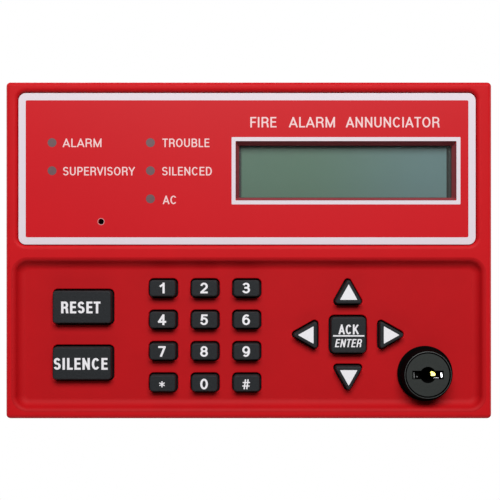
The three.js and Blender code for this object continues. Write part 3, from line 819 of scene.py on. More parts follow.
@dataclass(frozen=True)
class CrystalGlass(Finish):
    """Liquid crystal glass: its grey-green turns bluer to one side, with faint slow clouds.

    Args:
        far_colour: the colour at its right end.
        left: where the turn starts, in millimetres to the right of the frame's middle.
        right: where it ends.
    """

    far_colour: str = "5c7d7e"
    left: float = 20.0
    right: float = 95.0

    def colours(self, tree: bpy.types.NodeTree, place: bpy.types.NodeSocket) -> bpy.types.NodeSocket:
        """Adds the colour's nodes: it turns along x, and is a little lighter and darker in slow clouds.

        Args:
            tree: the material's node tree.
            place: the socket with the point on the piece, in metres.

        Returns:
            The socket that gives the colour.
        """
        axis = add_node(tree, "ShaderNodeSeparateXYZ", {"Vector": place})
        turn = add_node(tree, "ShaderNodeMapRange", {
            "Value": axis.outputs["X"], "From Min": self.left * MM, "From Max": self.right * MM,
        }, interpolation_type="SMOOTHSTEP")
        slow = add_node(tree, "ShaderNodeMix", {
            0: turn.outputs["Result"], 6: linear(self.colour), 7: linear(self.far_colour),
        }, data_type="RGBA")
        cloud = add_node(tree, "ShaderNodeTexNoise", {
            "Vector": place, "Scale": 1 / (self.patch * MM), "Detail": 1.0,
        })
        shade = add_node(tree, "ShaderNodeMapRange", {
            "Value": cloud.outputs["Fac"], "To Min": 1 - self.drift, "To Max": 1 + self.drift,
        })
        tinted = add_node(tree, "ShaderNodeVectorMath", {
            0: slow.outputs[2], "Scale": shade.outputs["Result"],
        }, operation="SCALE")
        return tinted.outputs["Vector"]


@dataclass(frozen=True)
class BoardResist(Finish):
    """Green solder resist over copper, where the copper's tracks show as paler lines.

    Args:
        strip: the length that the pattern's shares are taken of, in millimetres.
    """

    strip: float = 9.6

    def colours(self, tree: bpy.types.NodeTree, place: bpy.types.NodeSocket) -> bpy.types.NodeSocket:
        """Adds the colour's nodes: long low bricks of resist, with the tracks as their pale joints.

        Args:
            tree: the material's node tree.
            place: the socket with the point on the piece, in metres.

        Returns:
            The socket that gives the colour.
        """
        turned = add_node(tree, "ShaderNodeMapping", {"Vector": place, "Rotation": (math.pi / 2, 0, 0)})
        bricks = add_node(tree, "ShaderNodeTexBrick", {
            "Vector": turned.outputs["Vector"], "Scale": 1 / (self.strip * MM), "Mortar Size": 0.03,
            "Color1": linear(self.colour), "Color2": [c * 0.9 for c in linear(self.colour)[:3]] + [1.0],
            "Mortar": [min(c * 1.9, 1) for c in linear(self.colour)[:3]] + [1.0], "Brick Width": 1.9,
            "Row Height": 0.26,
        })
        return bricks.outputs["Color"]


def dressed(finish: Finish) -> bpy.types.Material:
    """Returns the finish's material, made the first time that it is asked for."""
    return bpy.data.materials.get(finish.name) or finish.build()


# Injection moulded ABS from a spark-eroded tool: satin, with an even fine texture. The real texture is 0.2 mm
# across, and it is drawn at 0.5 mm so that it shows.
RED_ABS = Finish("red ABS, spark-eroded texture", "cc1019", 0.58, 0.5, 0.012, 0.05, 14.0, 1.54, gloss=0.14)
# The keypad recess is a little rougher with a coarser grain, and its darker red is painted shade: the recess's
# shadow laid into the colour.
RED_RECESS_SHADE = Finish("red ABS, coarser texture, painted recess shade", "bd0e16", 0.62, 0.5, 0.014, 0.06, 14.0, 1.54, gloss=0.14)
# The window's slanted sides are a darker, greyer red: painted shade on the drafted walls.
RED_WALL_SHADE = Finish("red ABS, drafted wall, painted shade", "8c3a40", 0.7, 0.5, 0.012, 0.08, 6.0, 1.54, gloss=0.2)
# Polycarbonate film printed on its back: the ink's colour under a velvet clear face. Where it is punched, the
# bare edge shows pale.
FILM_EDGE = Finish("punched film edge", "e6a9aa", 0.5, 0.45, 0.004, 0.03, 5.0, 1.585)
RED_INK = Finish("red ink under velvet polycarbonate", "cf1620", 0.42, 0.45, 0.004, 0.03, 22.0, 1.585,
                 gloss=0.14)
WHITE_INK = Finish("white ink under velvet polycarbonate", "e6dce4", 0.42, 0.45, 0.004, 0.02, 22.0, 1.585,
                   gloss=0.2)
SMOKE_INK = Finish("smoked lamp window in polycarbonate", "6c5054", 0.34, 0.9, 0.004, 0.10, 1.6, 1.585)
LETTER_INK = Finish("white ink lettering on the film", "f6d2d2", 0.4, 0.4, 0.002, 0.02, 5.0)
# Compression moulded silicone rubber: matt, with a powdery fine grain that scatters light at the edges. The
# legends are silicone ink, screen printed, so they are as matt as the rubber.
SILICONE = Finish("charcoal silicone rubber", "202326", 0.66, 0.7, 0.12, 0.55, 0.9, 1.42, gloss=0.4)
KEY_PRINT = Finish("white silicone print", "f4f2f6", 0.6, 0.3, 0.006, 0.02, 2.0, 1.42)
# Glass filled black nylon, turned and moulded: a low gloss that breaks up on the glass grain. Its paler grey on the
# lip and at the keyway's left end is a painted highlight.
NYLON = Finish("black glass-filled nylon", "050505", 0.85, 0.5, 0.01, 0.2, 2.0, 1.53, gloss=0.03)
NYLON_FACE = Finish("charcoal nylon face", "2c302e", 0.6, 0.7, 0.04, 0.22, 0.9, 1.53, gloss=0.3)
NYLON_GLINT = Finish("nylon edge, painted highlight", "3e4140", 0.45, 0.3, 0.02, 0.3, 0.8, 1.53)
# Metals: bright turned brass that glints in the dark keyway, bluish white zinc plate on screws and the lock's
# steel, and black oxide on the display's bent bezel, which is dark with a dull sheen.
BRASS = Finish("turned brass", "e6dc68", 0.34, 0.3, 0.01, 0.1, 1.0, 1.5, 1.0)
STEEL = Finish("zinc plated steel", "c4c7ca", 0.34, 0.3, 0.008, 0.08, 2.0, 1.5, 1.0)
BLACK_STEEL = Finish("black oxide steel", "17181a", 0.45, 0.4, 0.01, 0.1, 4.0, 1.5, 0.3)
# The display that is off: glass under an anti-glare polariser, behind a clear cast acrylic window that adds
# only a faint reflection, and a frosted acrylic guide behind it.
CRYSTAL = CrystalGlass("grey-green liquid crystal glass", "517460", 0.3, 0.5, 0.001, 0.03, 12.0, 1.52)
CLEAR = Finish("clear acrylic", "aab4ae", 0.06, 2.0, 0.001, 0.0, 20.0, 1.49, alpha=0.06)
LIGHT_GUIDE = Finish("diffusing acrylic light guide", "e4ecdc", 0.5, 0.6, 0.002, 0.02, 8.0, 1.49)
# Inside: glossy green resist on the boards, transfer moulded epoxy with a fine laser matt on the chips, and
# semi-matt moulded nylon and extruded PVC, each in its usual colour.
RESIST = BoardResist("green solder resist", "175030", 0.32, 0.4, 0.01, 0.05, 6.0, 1.5)
EPOXY = Finish("black moulded epoxy", "1b1c1d", 0.55, 0.3, 0.015, 0.1, 2.0, 1.55)
GREEN_NYLON = Finish("green nylon", "2b7a45", 0.5, 0.5, 0.01, 0.06, 4.0, 1.53)
IVORY_NYLON = Finish("natural nylon", "e6e0cf", 0.5, 0.5, 0.01, 0.04, 4.0, 1.53)
PVC = Finish("grey PVC insulation", "94999f", 0.5, 0.5, 0.01, 0.06, 4.0, 1.53)
LAMP_EPOXY = Finish("tinted diffused lamp epoxy", "9a6f73", 0.3, 0.5, 0.004, 0.05, 2.0, 1.53)
# Uncoated paper sweep: matt and even, so that it only carries the light.
PALE_FLOOR = Finish("pale studio paper", "e6e6e6", 0.8, 3.0, 0.0, 0.01, 200.0)


# ---------------------------------------------------------------- what the pieces share


class Body(enum.Enum):
    """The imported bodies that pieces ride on, apart from the keys, each of which is a body of its own."""

    HOUSING = "housing"
    ROTOR = "lock_rotor"


class Turn(enum.IntEnum):
    """Which way an arrow key points, in quarter turns to the left from up."""

    UP = 0
    LEFT = 1
    DOWN = 2
    RIGHT = 3


@dataclass(frozen=True)
class Levels:
    """Distances from the wall that several pieces share, in millimetres."""

    rim: float = 34.0
    label_floor: float = 31.9
    label_rear: float = 32.2
    label_face: float = 32.7
    key_floor: float = 30.0
    key_face: float = 34.2
    upper_inside: float = 29.4
    lower_inside: float = 27.5
    rear_edge: float = 0.8


LEVEL = Levels()
DISPLAY_AT = (45.7, 37.4)
WINDOW_SIZE = (103.8, 27.9)
LABEL_AT = (-0.8, 38.3)
LOCK_AT = (83.1, -58.0)
KEY_SLACK = 0.8
LAMPS = {"alarm": (-92.4, 50.6), "supervisory": (-92.4, 37.4), "trouble": (-46.2, 50.6),
         "silenced": (-46.2, 37.4), "ac_power": (-46.2, 24.2)}
SOUNDER = (-69.4, 13.5)
SOUNDER_PORT = 1.4
WINDOW = rounded_rect(*DISPLAY_AT, *WINDOW_SIZE, 1.8)
BOARD_SCREWS = ((-99.0, 61.0), (-25.0, 61.0), (99.0, 3.0), (-99.0, -66.0))
DISPLAY_SCREWS = tuple((DISPLAY_AT[0] + x, DISPLAY_AT[1] + z) for x in (-58.1, 58.1) for z in (-19.1, 19.1))
COVER_SCREW_X = (-46.0, 46.0)
COVER_SCREW_DEPTH = 9.0


@dataclass(frozen=True)
class Word:
    """A word to print: its middle, its width and height over all, and how bold and slanted it is."""

    text: str
    x: float
    z: float
    width: float
    height: float
    weight: float = 0.15
    slant: float = 0.0


def printed(name: str, words: list[Word], depth: float, thick: float, body: str, finish: Finish) -> bpy.types.Object:
    """Prints words on a flat face as one piece of thin solid letters.

    Args:
        name: the piece's name.
        words: the words.
        depth: the printed face's d.
        thick: how far the print stands proud of it.
        body: the body that the print rides on.
        finish: the print's finish.

    Returns:
        The piece.
    """
    points: list[np.ndarray] = []
    faces: list[list[int]] = []
    for word in words:
        drawn, drawn_faces = lettering(word.text, word.x, word.z, word.width, word.height, word.weight,
                                       word.slant)
        start = sum(len(block) for block in points)
        points.append(drawn)
        faces.extend([[number + start for number in face] for face in drawn_faces])
    every = np.concatenate(points)
    placed = np.column_stack([every[:, 0], -(depth + every[:, 2] * thick), every[:, 1]]) * MM
    return make_piece(name, placed, faces, body, [dressed(finish)], smooth=False)


def repaint(node: str, finish: Finish) -> None:
    """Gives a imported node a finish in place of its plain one.

    Args:
        node: the node's name in the frame.
        finish: what it is dressed in.
    """
    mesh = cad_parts[node].data
    mesh.materials.clear()
    mesh.materials.append(dressed(finish))


# ---------------------------------------------------------------- sub-assemblies


@dataclass(frozen=True)
class Key:
    """One key: its node, its cap's outline, and what is printed on it."""

    node: str
    outline: RoundedPolygon
    words: tuple[Word, ...] = ()
    arrow: RoundedPolygon | None = None
    edge: float = 0.6


@dataclass(frozen=True)
class Legend:
    """How a small key's sign is drawn: its size, how bold it is, and how far it sits above its place."""

    width: float = 3.6
    height: float = 5.0
    weight: float = 0.2
    rise: float = 0.1


LEGENDS = {"1": Legend(width=2.4), "4": Legend(width=3.9), "0": Legend(rise=-0.3),
           "*": Legend(3.0, 3.1, 0.17, -0.4), "#": Legend(3.8, 4.8, 0.13, -0.4)}


@dataclass
class Keypad:
    """The rubber keys, and the mat that they belong to."""

    skirt: float = 0.55
    skirt_foot: float = 26.4
    skirt_top: float = 27.1
    draft: float = 0.15
    print_thick: float = 0.03
    corner: float = 1.5
    first: tuple[float, float] = (-40.3, -17.8)
    pitch: tuple[float, float] = (19.7, 14.85)
    small: tuple[float, float] = (12.2, 7.6)
    wide_x: float = -78.2
    wide: tuple[float, float] = (27.4, 15.2)
    enter: tuple[float, float] = (46.8, -39.7)
    square: tuple[float, float] = (16.4, 16.8)
    arrow_base: float = 13.5
    arrow_tall: float = 12.0
    arrow_gap: float = 14.7
    mark_size: tuple[float, float] = (8.2, 7.3)
    mark_back: float = 0.6
    rule: tuple[float, float] = (14.7, 0.65)
    rule_drop: float = 0.4
    keys: list[Key] = field(default_factory=list)

    def lay_out(self) -> None:
        """Places every key: a grid of small ones, two wide ones, and a square one among four arrows."""
        names = {"*": "star", "#": "hash"}
        for index, sign in enumerate("123456789*0#"):
            x, z = self.first[0] + self.pitch[0] * (index % 3), self.first[1] - self.pitch[1] * (index // 3)
            drawn = LEGENDS.get(sign, Legend())
            word = Word(sign, x - 0.3, z + drawn.rise, drawn.width, drawn.height, weight=drawn.weight)
            cap = rounded_rect(x - 0.1, z, *self.small, self.corner)
            self.keys.append(Key(f"key_{names.get(sign, sign)}", cap, (word,)))
        for name, z, width in (("reset", -26.6, 18.4), ("silence", -53.0, 25.3)):
            word = Word(name.upper(), self.wide_x - 0.4, z - 0.2, width, 5.5, weight=0.2)
            cap = rounded_rect(self.wide_x, z, *self.wide, self.corner)
            self.keys.append(Key(f"key_{name}", cap, (word,), edge=0.7))
        x, z = self.enter
        words = (Word("ACK", x, z + 2.6, 9.4, 4.6, 0.175), Word("ENTER", x, z - 3.8, 13.0, 3.8, 0.165, 0.2))
        self.keys.append(Key("key_enter", rounded_rect(x, z, *self.square, 1.8), words, edge=0.7))
        reach = self.arrow_gap + self.arrow_tall / 2
        inner = reach - self.mark_back
        for turn in Turn:
            across, up = -math.sin(turn * math.pi / 2), math.cos(turn * math.pi / 2)
            cap = arrow(x + reach * across, z + reach * up, self.arrow_base, self.arrow_tall, 1.0, turn)
            mark = arrow(x + inner * across, z + inner * up, *self.mark_size, 0.15, turn, 3)
            self.keys.append(Key(f"key_{turn.name.lower()}", cap, arrow=mark))

    def build_cap(self, key: Key) -> None:
        """Makes a cap: a skirt under the cover, and a body that tapers to a flat face with soft edges.

        Args:
            key: the key that the cap belongs to.
        """
        skin = Skin()
        outline, face, grow = key.outline, LEVEL.key_face, KEY_SLACK + self.skirt
        foot = skin.ring(outline, grow, self.skirt_foot)
        skin.fill(foot, [], False)
        stations = np.concatenate([
            [(grow, self.skirt_foot), (grow, self.skirt_top), (self.draft, self.skirt_top)],
            fillet((0.0, face - key.edge), (-key.edge, face), True, 6),
        ])
        last = skin.wall(outline, stations, foot)
        skin.fill(last, [])
        cap = skin.piece(f"{key.node}_cap", key.node, [dressed(SILICONE)], "keypad_rubber")
        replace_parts(cap, key.node)

    def build_print(self, key: Key) -> None:
        """Prints the key's words, or its arrow, on its face.

        Args:
            key: the key that is printed.
        """
        if key.arrow is not None:
            mark = slab(key.arrow, LEVEL.key_face, LEVEL.key_face + self.print_thick, 0.01)
            mark.piece(f"{key.node}_print", key.node, [dressed(KEY_PRINT)], "keypad_rubber", smooth=False)
            return
        printed(f"{key.node}_print", list(key.words), LEVEL.key_face, self.print_thick, key.node, KEY_PRINT)

    def build_rule(self) -> None:
        """Draws the line between the two words on the square key."""
        x, z = self.enter
        line = slab(rounded_rect(x, z - self.rule_drop, *self.rule, 0.1, 3), LEVEL.key_face,
                    LEVEL.key_face + self.print_thick, 0.01)
        line.piece("key_enter_rule", "key_enter", [dressed(KEY_PRINT)], "keypad_rubber", smooth=False)

    def build(self) -> None:
        """Builds every key and dresses the mat."""
        for key in self.keys:
            self.build_cap(key)
            self.build_print(key)
        self.build_rule()
        repaint("keypad_mat", SILICONE)


@dataclass
class CoverMoulding:
    """The red front cover: rim, label recess, keypad recess, holes, cavity and posts."""

    keys: list[Key]
    recess: RoundedPolygon = field(default_factory=lambda: rounded_rect(0.0, -39.5, 218.2, 68.3, 5.4, 12))
    bed: RoundedPolygon = field(default_factory=lambda: rounded_rect(*LABEL_AT, 215.6, 72.0, 3.9, 10))
    bed_brow: tuple[float, float] = (2.0, 1.5)
    window_draft: float = 1.6
    pocket_z: float = 37.1
    pocket_tall: float = 77.8
    wall: float = 2.5
    edge: float = 2.2
    brow: float = 2.4
    hollow: float = 4.2
    slope: float = math.radians(64)
    lip: float = 0.55
    lock_hole: float = 9.7
    lamp_hole: float = 2.3
    post: float = 3.4
    board_post_foot: float = 25.5
    display_post_foot: float = 17.9
    pilot: float = 1.6
    pilot_deep: float = 3.3
    screw_head: float = 3.3
    screw_sunk: float = 2.0
    screw_shank: float = 1.8

    def recess_profile(self) -> np.ndarray:
        """Works out the keypad recess's side: a round off the rim, a slope and a hollow to the floor.

        Both curves are arcs that turn through the slope's angle, and the straight part between them is as
        long as the recess's depth leaves.

        Returns:
            The stations from the rim to the floor, as grow and d.
        """
        turn = np.linspace(0, self.slope, 8)
        round_off = np.column_stack([-np.sin(turn), np.cos(turn) - 1]) * self.brow
        drop = LEVEL.rim - LEVEL.key_floor - (self.brow + self.hollow) * (1 - math.cos(self.slope))
        straight = np.array([-math.cos(self.slope), -math.sin(self.slope)]) * drop / math.sin(self.slope)
        back = turn[::-1]
        hollow = np.column_stack([np.sin(back) - math.sin(self.slope), math.cos(self.slope) - np.cos(back)])
        foot = round_off[-1] + straight + hollow * self.hollow
        return np.concatenate([round_off, foot]) + [self.brow * math.sin(self.slope), LEVEL.rim]

    def screw_hole(self, skin: Skin, x: float, outside: float,
                   inside_z: float) -> tuple[np.ndarray, np.ndarray]:
        """Sinks a cover screw's hole into the bottom wall: a wide part for the head, then a narrow one.

        Args:
            skin: the cover's surface.
            x: the hole's place.
            outside: the bottom face's z.
            inside_z: the inner face's z.

        Returns:
            The point numbers of its outer and inner mouths.
        """
        rings = []
        seat = outside + self.screw_sunk
        for radius, z in ((self.screw_head, outside), (self.screw_head, seat), (self.screw_shank, seat),
                          (self.screw_shank, inside_z)):
            flat = Disc(x, COVER_SCREW_DEPTH, radius, HOLE_STEPS).ring()
            rings.append(skin.add_points(np.column_stack([flat[:, 0], np.full(len(flat), z), flat[:, 1]])))
        for first, second in zip(rings, rings[1:]):
            skin.bridge(first, second)
        return rings[0], rings[-1]

    def raise_post(self, skin: Skin, x: float, z: float, base: float, foot: float,
                   radius: float) -> np.ndarray:
        """Raises a screw post from the underside, with a blind pilot hole in its foot.

        Args:
            skin: the cover's surface.
            x: the post's place, to the right.
            z: the post's place, up.
            base: the underside's d.
            foot: the d of the post's end.
            radius: the post's radius.

        Returns:
            The point numbers of its base ring.
        """
        pilot, side = Disc(x, z, self.pilot, HOLE_STEPS), Disc(x, z, radius, HOLE_STEPS)
        end = foot + self.pilot_deep
        bottom = skin.ring(pilot, 0.0, end)
        skin.fill(bottom, [], False)
        mouth = skin.wall(pilot, np.array([(0, end), (0, foot)]), bottom)
        rim = skin.ring(side, 0.0, foot)
        skin.bridge(mouth, rim)
        return skin.wall(side, np.array([(0, foot), (0, base)]), rim)

    def build(self) -> None:
        """Builds the cover as one closed surface, and lets it stand for its node."""
        low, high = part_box("front_cover")
        width, height = (high.x - low.x) / MM, (high.z - low.z) / MM
        outer = rounded_rect(0, 0, width, height, 2.0)
        cavity = rounded_rect(0, 0, width - 2 * self.wall, height - 2 * self.wall, 1.0)
        pocket = rounded_rect(0, self.pocket_z, width - 2 * self.wall - 1, self.pocket_tall, 1.0)
        skin = Skin()
        rim, rear = LEVEL.rim, LEVEL.rear_edge

        # Outside, from the rear edge to the rim.
        inner_rear = skin.ring(cavity, 0.0, rear)
        outer_rear = skin.ring(outer, -0.3, rear)
        skin.bridge(inner_rear, outer_rear)
        low_ring = skin.wall(outer, fillet((-0.3, rear), (0.0, rear + 0.3), False, 3), outer_rear)
        high_ring = skin.ring(outer, 0.0, rim - self.edge)
        skin.bridge(low_ring, high_ring, skip_last=True)
        top = skin.wall(outer, fillet((0.0, rim - self.edge), (-self.edge, rim), True, 8), high_ring)

        # The cavity's wall, and the screw holes through the bottom.
        ceiling = skin.ring(cavity, 0.0, LEVEL.lower_inside)
        skin.bridge(ceiling, inner_rear, skip_last=True)
        mouths = [self.screw_hole(skin, x, -height / 2, -height / 2 + self.wall) for x in COVER_SCREW_X]
        skin.fill(np.array([low_ring[-1], low_ring[0], high_ring[0], high_ring[-1]]),
                  [outside for outside, _ in mouths], True, (0, 2))
        skin.fill(np.array([inner_rear[-1], inner_rear[0], ceiling[0], ceiling[-1]]),
                  [within for _, within in mouths], False, (0, 2))

        # The two recesses, cut down from the rim.
        brow_wide, brow_deep = self.bed_brow
        label_mouth = skin.ring(self.bed, brow_wide, rim)
        profile = self.recess_profile()
        recess_mouth = skin.ring(self.recess, *profile[0])
        skin.fill(top, [label_mouth, recess_mouth])
        label_edge = skin.wall(self.bed, np.concatenate([
            fillet((brow_wide, rim), (0.0, rim - brow_deep), False, 9),
            fillet((0.0, LEVEL.label_floor + 0.2), (-0.2, LEVEL.label_floor), True, 3),
        ]), label_mouth)
        # Mark 2 gives the recess's slopes and floor the darker red of painted recess shade.
        floor_edge = skin.wall(self.recess, profile, recess_mouth, mark=2)

        # Holes through both floors. Each list holds the front mouths and the rear ones.
        upper, lower = ([], []), ([], [])
        straight = [(0, LEVEL.label_floor), (0, LEVEL.upper_inside)]
        # The window's drafted sides take mark 1, a darker greyer red that is painted shade.
        through = [(WINDOW, [(0, LEVEL.label_floor), (-self.window_draft, LEVEL.upper_inside)]),
                   (Disc(*SOUNDER, SOUNDER_PORT, HOLE_STEPS), straight)]
        through += [(Disc(x, z, self.lamp_hole, HOLE_STEPS), straight) for x, z in LAMPS.values()]
        for outline, stations in through:
            mouth = skin.ring(outline, *stations[0])
            upper[0].append(mouth)
            upper[1].append(skin.wall(outline, np.array(stations, float), mouth, mark=int(outline is WINDOW)))
        lips = fillet((KEY_SLACK + self.lip, LEVEL.key_floor), (KEY_SLACK, LEVEL.key_floor - self.lip),
                      False, 4)
        key_stations = np.concatenate([lips, [(KEY_SLACK, LEVEL.lower_inside)]])
        lock_stations = np.array([(0, LEVEL.key_floor), (0, LEVEL.lower_inside)], float)
        for outline, stations in [(key.outline, key_stations) for key in self.keys] + [
                (Disc(*LOCK_AT, self.lock_hole), lock_stations)]:
            mouth = skin.ring(outline, *stations[0])
            lower[0].append(mouth)
            lower[1].append(skin.wall(outline, stations, mouth))
        skin.fill(label_edge, upper[0])
        skin.fill(floor_edge, lower[0], mark=2)

        # The underside: the pocket behind the label, the step to the rest, and the posts.
        for x, z in BOARD_SCREWS:
            side, base = (upper, LEVEL.upper_inside) if z > 0 else (lower, LEVEL.lower_inside)
            side[1].append(self.raise_post(skin, x, z, base, self.board_post_foot, self.post))
        for x, z in DISPLAY_SCREWS:
            upper[1].append(self.raise_post(skin, x, z, LEVEL.upper_inside, self.display_post_foot,
                                            self.post - 0.6))
        pocket_top = skin.ring(pocket, 0.0, LEVEL.upper_inside)
        step = np.array([(0, LEVEL.upper_inside), (0, LEVEL.lower_inside)])
        pocket_foot = skin.wall(pocket, step, pocket_top)
        skin.fill(pocket_top, upper[1], False)
        skin.fill(ceiling, [*lower[1], pocket_foot], False)
        finishes = [dressed(RED_ABS), dressed(RED_WALL_SHADE), dressed(RED_RECESS_SHADE)]
        cover = skin.piece("front_cover_moulding", Body.HOUSING.value, finishes, "red_moulding")
        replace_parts(cover, "front_cover")


@dataclass
class WallBox:
    """The rear housing: a shallow tray with hanging holes, a cable entry and two knock-outs."""

    back: float = 2.5
    wall: float = 2.0
    rise: float = 12.0
    entry: RoundedPolygon = field(default_factory=lambda: rounded_rect(-40.0, 20.0, 36.0, 26.0, 5.0))
    lip: float = 2.5
    hang_x: float = 41.5
    hang_z: float = 50.0
    hang_hole: tuple[float, float, float] = (4.5, 2.4, 9.0)
    knock_outs: tuple[tuple[float, float], ...] = ((40.0, 20.0), (0.0, -22.0))
    knock_out: float = 11.0
    groove: float = 1.4
    sunk: float = 0.9

    def build(self) -> None:
        """Builds the tray as one closed surface, with a collar round the entry and grooved knock-outs."""
        low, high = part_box("rear_housing")
        width, height = (high.x - low.x) / MM, (high.z - low.z) / MM
        outer = rounded_rect(0, 0, width, height, 2.0)
        inner = rounded_rect(0, 0, width - 2 * self.wall, height - 2 * self.wall, 1.0)
        skin = Skin()
        back_edge = skin.ring(outer, -0.8, 0.0)
        top = skin.wall(outer, np.concatenate([
            fillet((-0.8, 0.0), (0.0, 0.8), False, 5),
            fillet((0.0, self.rise - 0.3), (-0.3, self.rise), True, 3),
        ]), back_edge)
        inner_top = skin.ring(inner, 0.0, self.rise)
        skin.bridge(top, inner_top)
        floor = skin.wall(inner, np.array([(0, self.rise), (0, self.back)]), inner_top)
        rear_mouths, front_mouths = [], []
        for x in (-self.hang_x, self.hang_x):
            for z in (-self.hang_z, self.hang_z):
                hole = Keyhole(x, z, *self.hang_hole)
                mouth = skin.ring(hole, 0.0, self.back)
                front_mouths.append(mouth)
                rear_mouths.append(skin.wall(hole, np.concatenate([
                    [(0, self.back)], fillet((0.0, 0.4), (0.4, 0.0), True, 3),
                ]), mouth))
        collar = skin.ring(self.entry, self.lip, self.back)
        front_mouths.append(collar)
        crown = self.back + self.lip
        collar_top = skin.wall(self.entry, np.concatenate([
            [(self.lip, self.back)], fillet((self.lip, crown - 0.4), (self.lip - 0.4, crown), True, 3),
            fillet((0.4, crown), (0.0, crown - 0.4), False, 3),
        ]), collar)
        rear_mouths.append(skin.wall(self.entry, np.concatenate([
            [(0.0, crown - 0.4)], fillet((0.0, 0.5), (0.5, 0.0), True, 4),
        ]), collar_top))
        for x, z in self.knock_outs:
            plug = Disc(x, z, self.knock_out)
            rim = skin.ring(plug, self.groove / 2, 0.0)
            rear_mouths.append(rim)
            core = skin.ring(plug, -self.groove / 2, 0.0)
            skin.fill(core, [], False)
            foot = skin.wall(plug, np.array([(-self.groove / 2, 0.0), (-self.groove / 4, self.sunk),
                                             (self.groove / 4, self.sunk)]), core)
            skin.bridge(foot, rim)
        skin.fill(back_edge, rear_mouths, False)
        skin.fill(floor, front_mouths)
        tray = skin.piece("rear_housing_tray", Body.HOUSING.value, [dressed(RED_ABS)], "red_moulding")
        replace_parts(tray, "rear_housing")


@dataclass
class FaceLabel:
    """The printed film in the upper recess, and its words."""

    width: float = 214.8
    height: float = 71.2
    border: float = 3.4
    line: float = 1.85
    lamp_window: float = 2.1
    punched: float = 0.2
    print_thick: float = 0.02

    def build(self) -> None:
        """Builds the film, whose front is cut along every printed edge, and prints its words."""
        film = rounded_rect(*LABEL_AT, self.width, self.height, 3.5, 12)
        field_ring = rounded_rect(*LABEL_AT, self.width - 2 * self.border, self.height - 2 * self.border,
                                  0.7, 4)
        cut_out = rounded_rect(*DISPLAY_AT, *WINDOW_SIZE, 0.3, 3)
        frame_ring = rounded_rect(*DISPLAY_AT, *(size + 2 * self.line for size in WINDOW_SIZE), 0.3, 3)
        port = Disc(*SOUNDER, SOUNDER_PORT, HOLE_STEPS)
        skin = Skin()
        face, rear = LEVEL.label_face, LEVEL.label_rear
        rear_ring = skin.ring(film, 0.0, rear)
        front_ring = skin.wall(film, np.concatenate([
            [(0.0, rear)], fillet((0.0, face - 0.1), (-0.1, face), True, 3),
        ]), rear_ring, mark=1)
        holes = []
        for outline in (cut_out, port):
            mouth = skin.ring(outline, 0.0, face)
            holes.append((mouth, skin.wall(outline, np.array([(0, face), (0, rear)]), mouth)))
        marks = [(skin.ring(field_ring, 0.0, face), 0), (skin.ring(frame_ring, 0.0, face), 1)]
        marks += [(skin.ring(Disc(x, z, self.lamp_window, HOLE_STEPS), 0.0, face), 2)
                  for x, z in LAMPS.values()]
        marks += [(skin.ring(port, self.punched, face), 3)]
        skin.fill(front_ring, [mouth for mouth, _ in holes], mark=1, marks=marks)
        skin.fill(rear_ring, [back for _, back in holes], False, mark=0)
        inks = [dressed(RED_INK), dressed(WHITE_INK), dressed(SMOKE_INK), dressed(FILM_EDGE)]
        label = skin.piece("face_label", Body.HOUSING.value, inks, "printed_label", smooth=False)
        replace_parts(label, "overlay_label")
        small, large = 4.0, 4.9
        words = [
            Word("ALARM", -78.3, 50.5, 18.2, small), Word("SUPERVISORY", -70.3, 37.2, 33.8, small),
            Word("TROUBLE", -29.5, 50.5, 22.1, small), Word("SILENCED", -29.0, 37.2, 23.4, small),
            Word("AC", -37.3, 23.7, 6.4, small), Word("FIRE", 6.9, 60.2, 12.3, large),
            Word("ALARM", 29.7, 60.2, 21.6, large), Word("ANNUNCIATOR", 67.6, 60.2, 44.0, large),
        ]
        printed("label_words", words, face, self.print_thick, Body.HOUSING.value, LETTER_INK)


@dataclass
class Display:
    """The display behind its window."""

    x: float = DISPLAY_AT[0]
    z: float = DISPLAY_AT[1]
    window: tuple[float, float] = (109.0, 33.1)
    window_rear: float = 27.6
    window_front: float = 29.1
    glass: tuple[float, float] = (107.2, 29.2)
    film: tuple[float, float] = (98.4, 24.0)
    film_front: float = 27.2
    shadow_strip: tuple[float, float] = (1.0, 24.2)
    shadow_strip_at: float = 48.9

    def build(self) -> None:
        """Builds the window, glass, polariser and a black strip of painted shadow along the glass's right edge, and
        dresses the rest of the display.
        """
        window = slab(rounded_rect(self.x, self.z, *self.window, 1.0), self.window_rear, self.window_front,
                      0.15)
        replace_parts(window.piece("clear_window", Body.HOUSING.value, [dressed(CLEAR)], "clear_window"),
                    "display_window")
        low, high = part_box("display_glass")
        glass = slab(rounded_rect(self.x, self.z, *self.glass, 0.3, 3), -high.y / MM, -low.y / MM, 0.1)
        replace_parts(glass.piece("crystal_glass", Body.HOUSING.value, [dressed(CRYSTAL)], "display_glass"),
                    "display_glass")
        rear = -low.y / MM - 0.1
        film = slab(rounded_rect(self.x, self.z, *self.film, 0.2, 3), rear, self.film_front, 0.05)
        film.piece("front_polariser", Body.HOUSING.value, [dressed(CRYSTAL)], "display_glass")
        # A black strip along the glass's right edge: painted shadow where the window's side shades the glass.
        shadow_strip = slab(rounded_rect(self.x + self.shadow_strip_at, self.z, *self.shadow_strip, 0.1, 3), rear,
                    self.film_front + 0.05, 0.02)
        shadow_strip.piece("display_shadow_strip", Body.HOUSING.value, [dressed(NYLON)], "display_glass")
        for node, finish in (("display_bezel", BLACK_STEEL), ("display_backlight", LIGHT_GUIDE),
                             ("display_board", RESIST), ("display_ribbon", PVC)):
            repaint(node, finish)


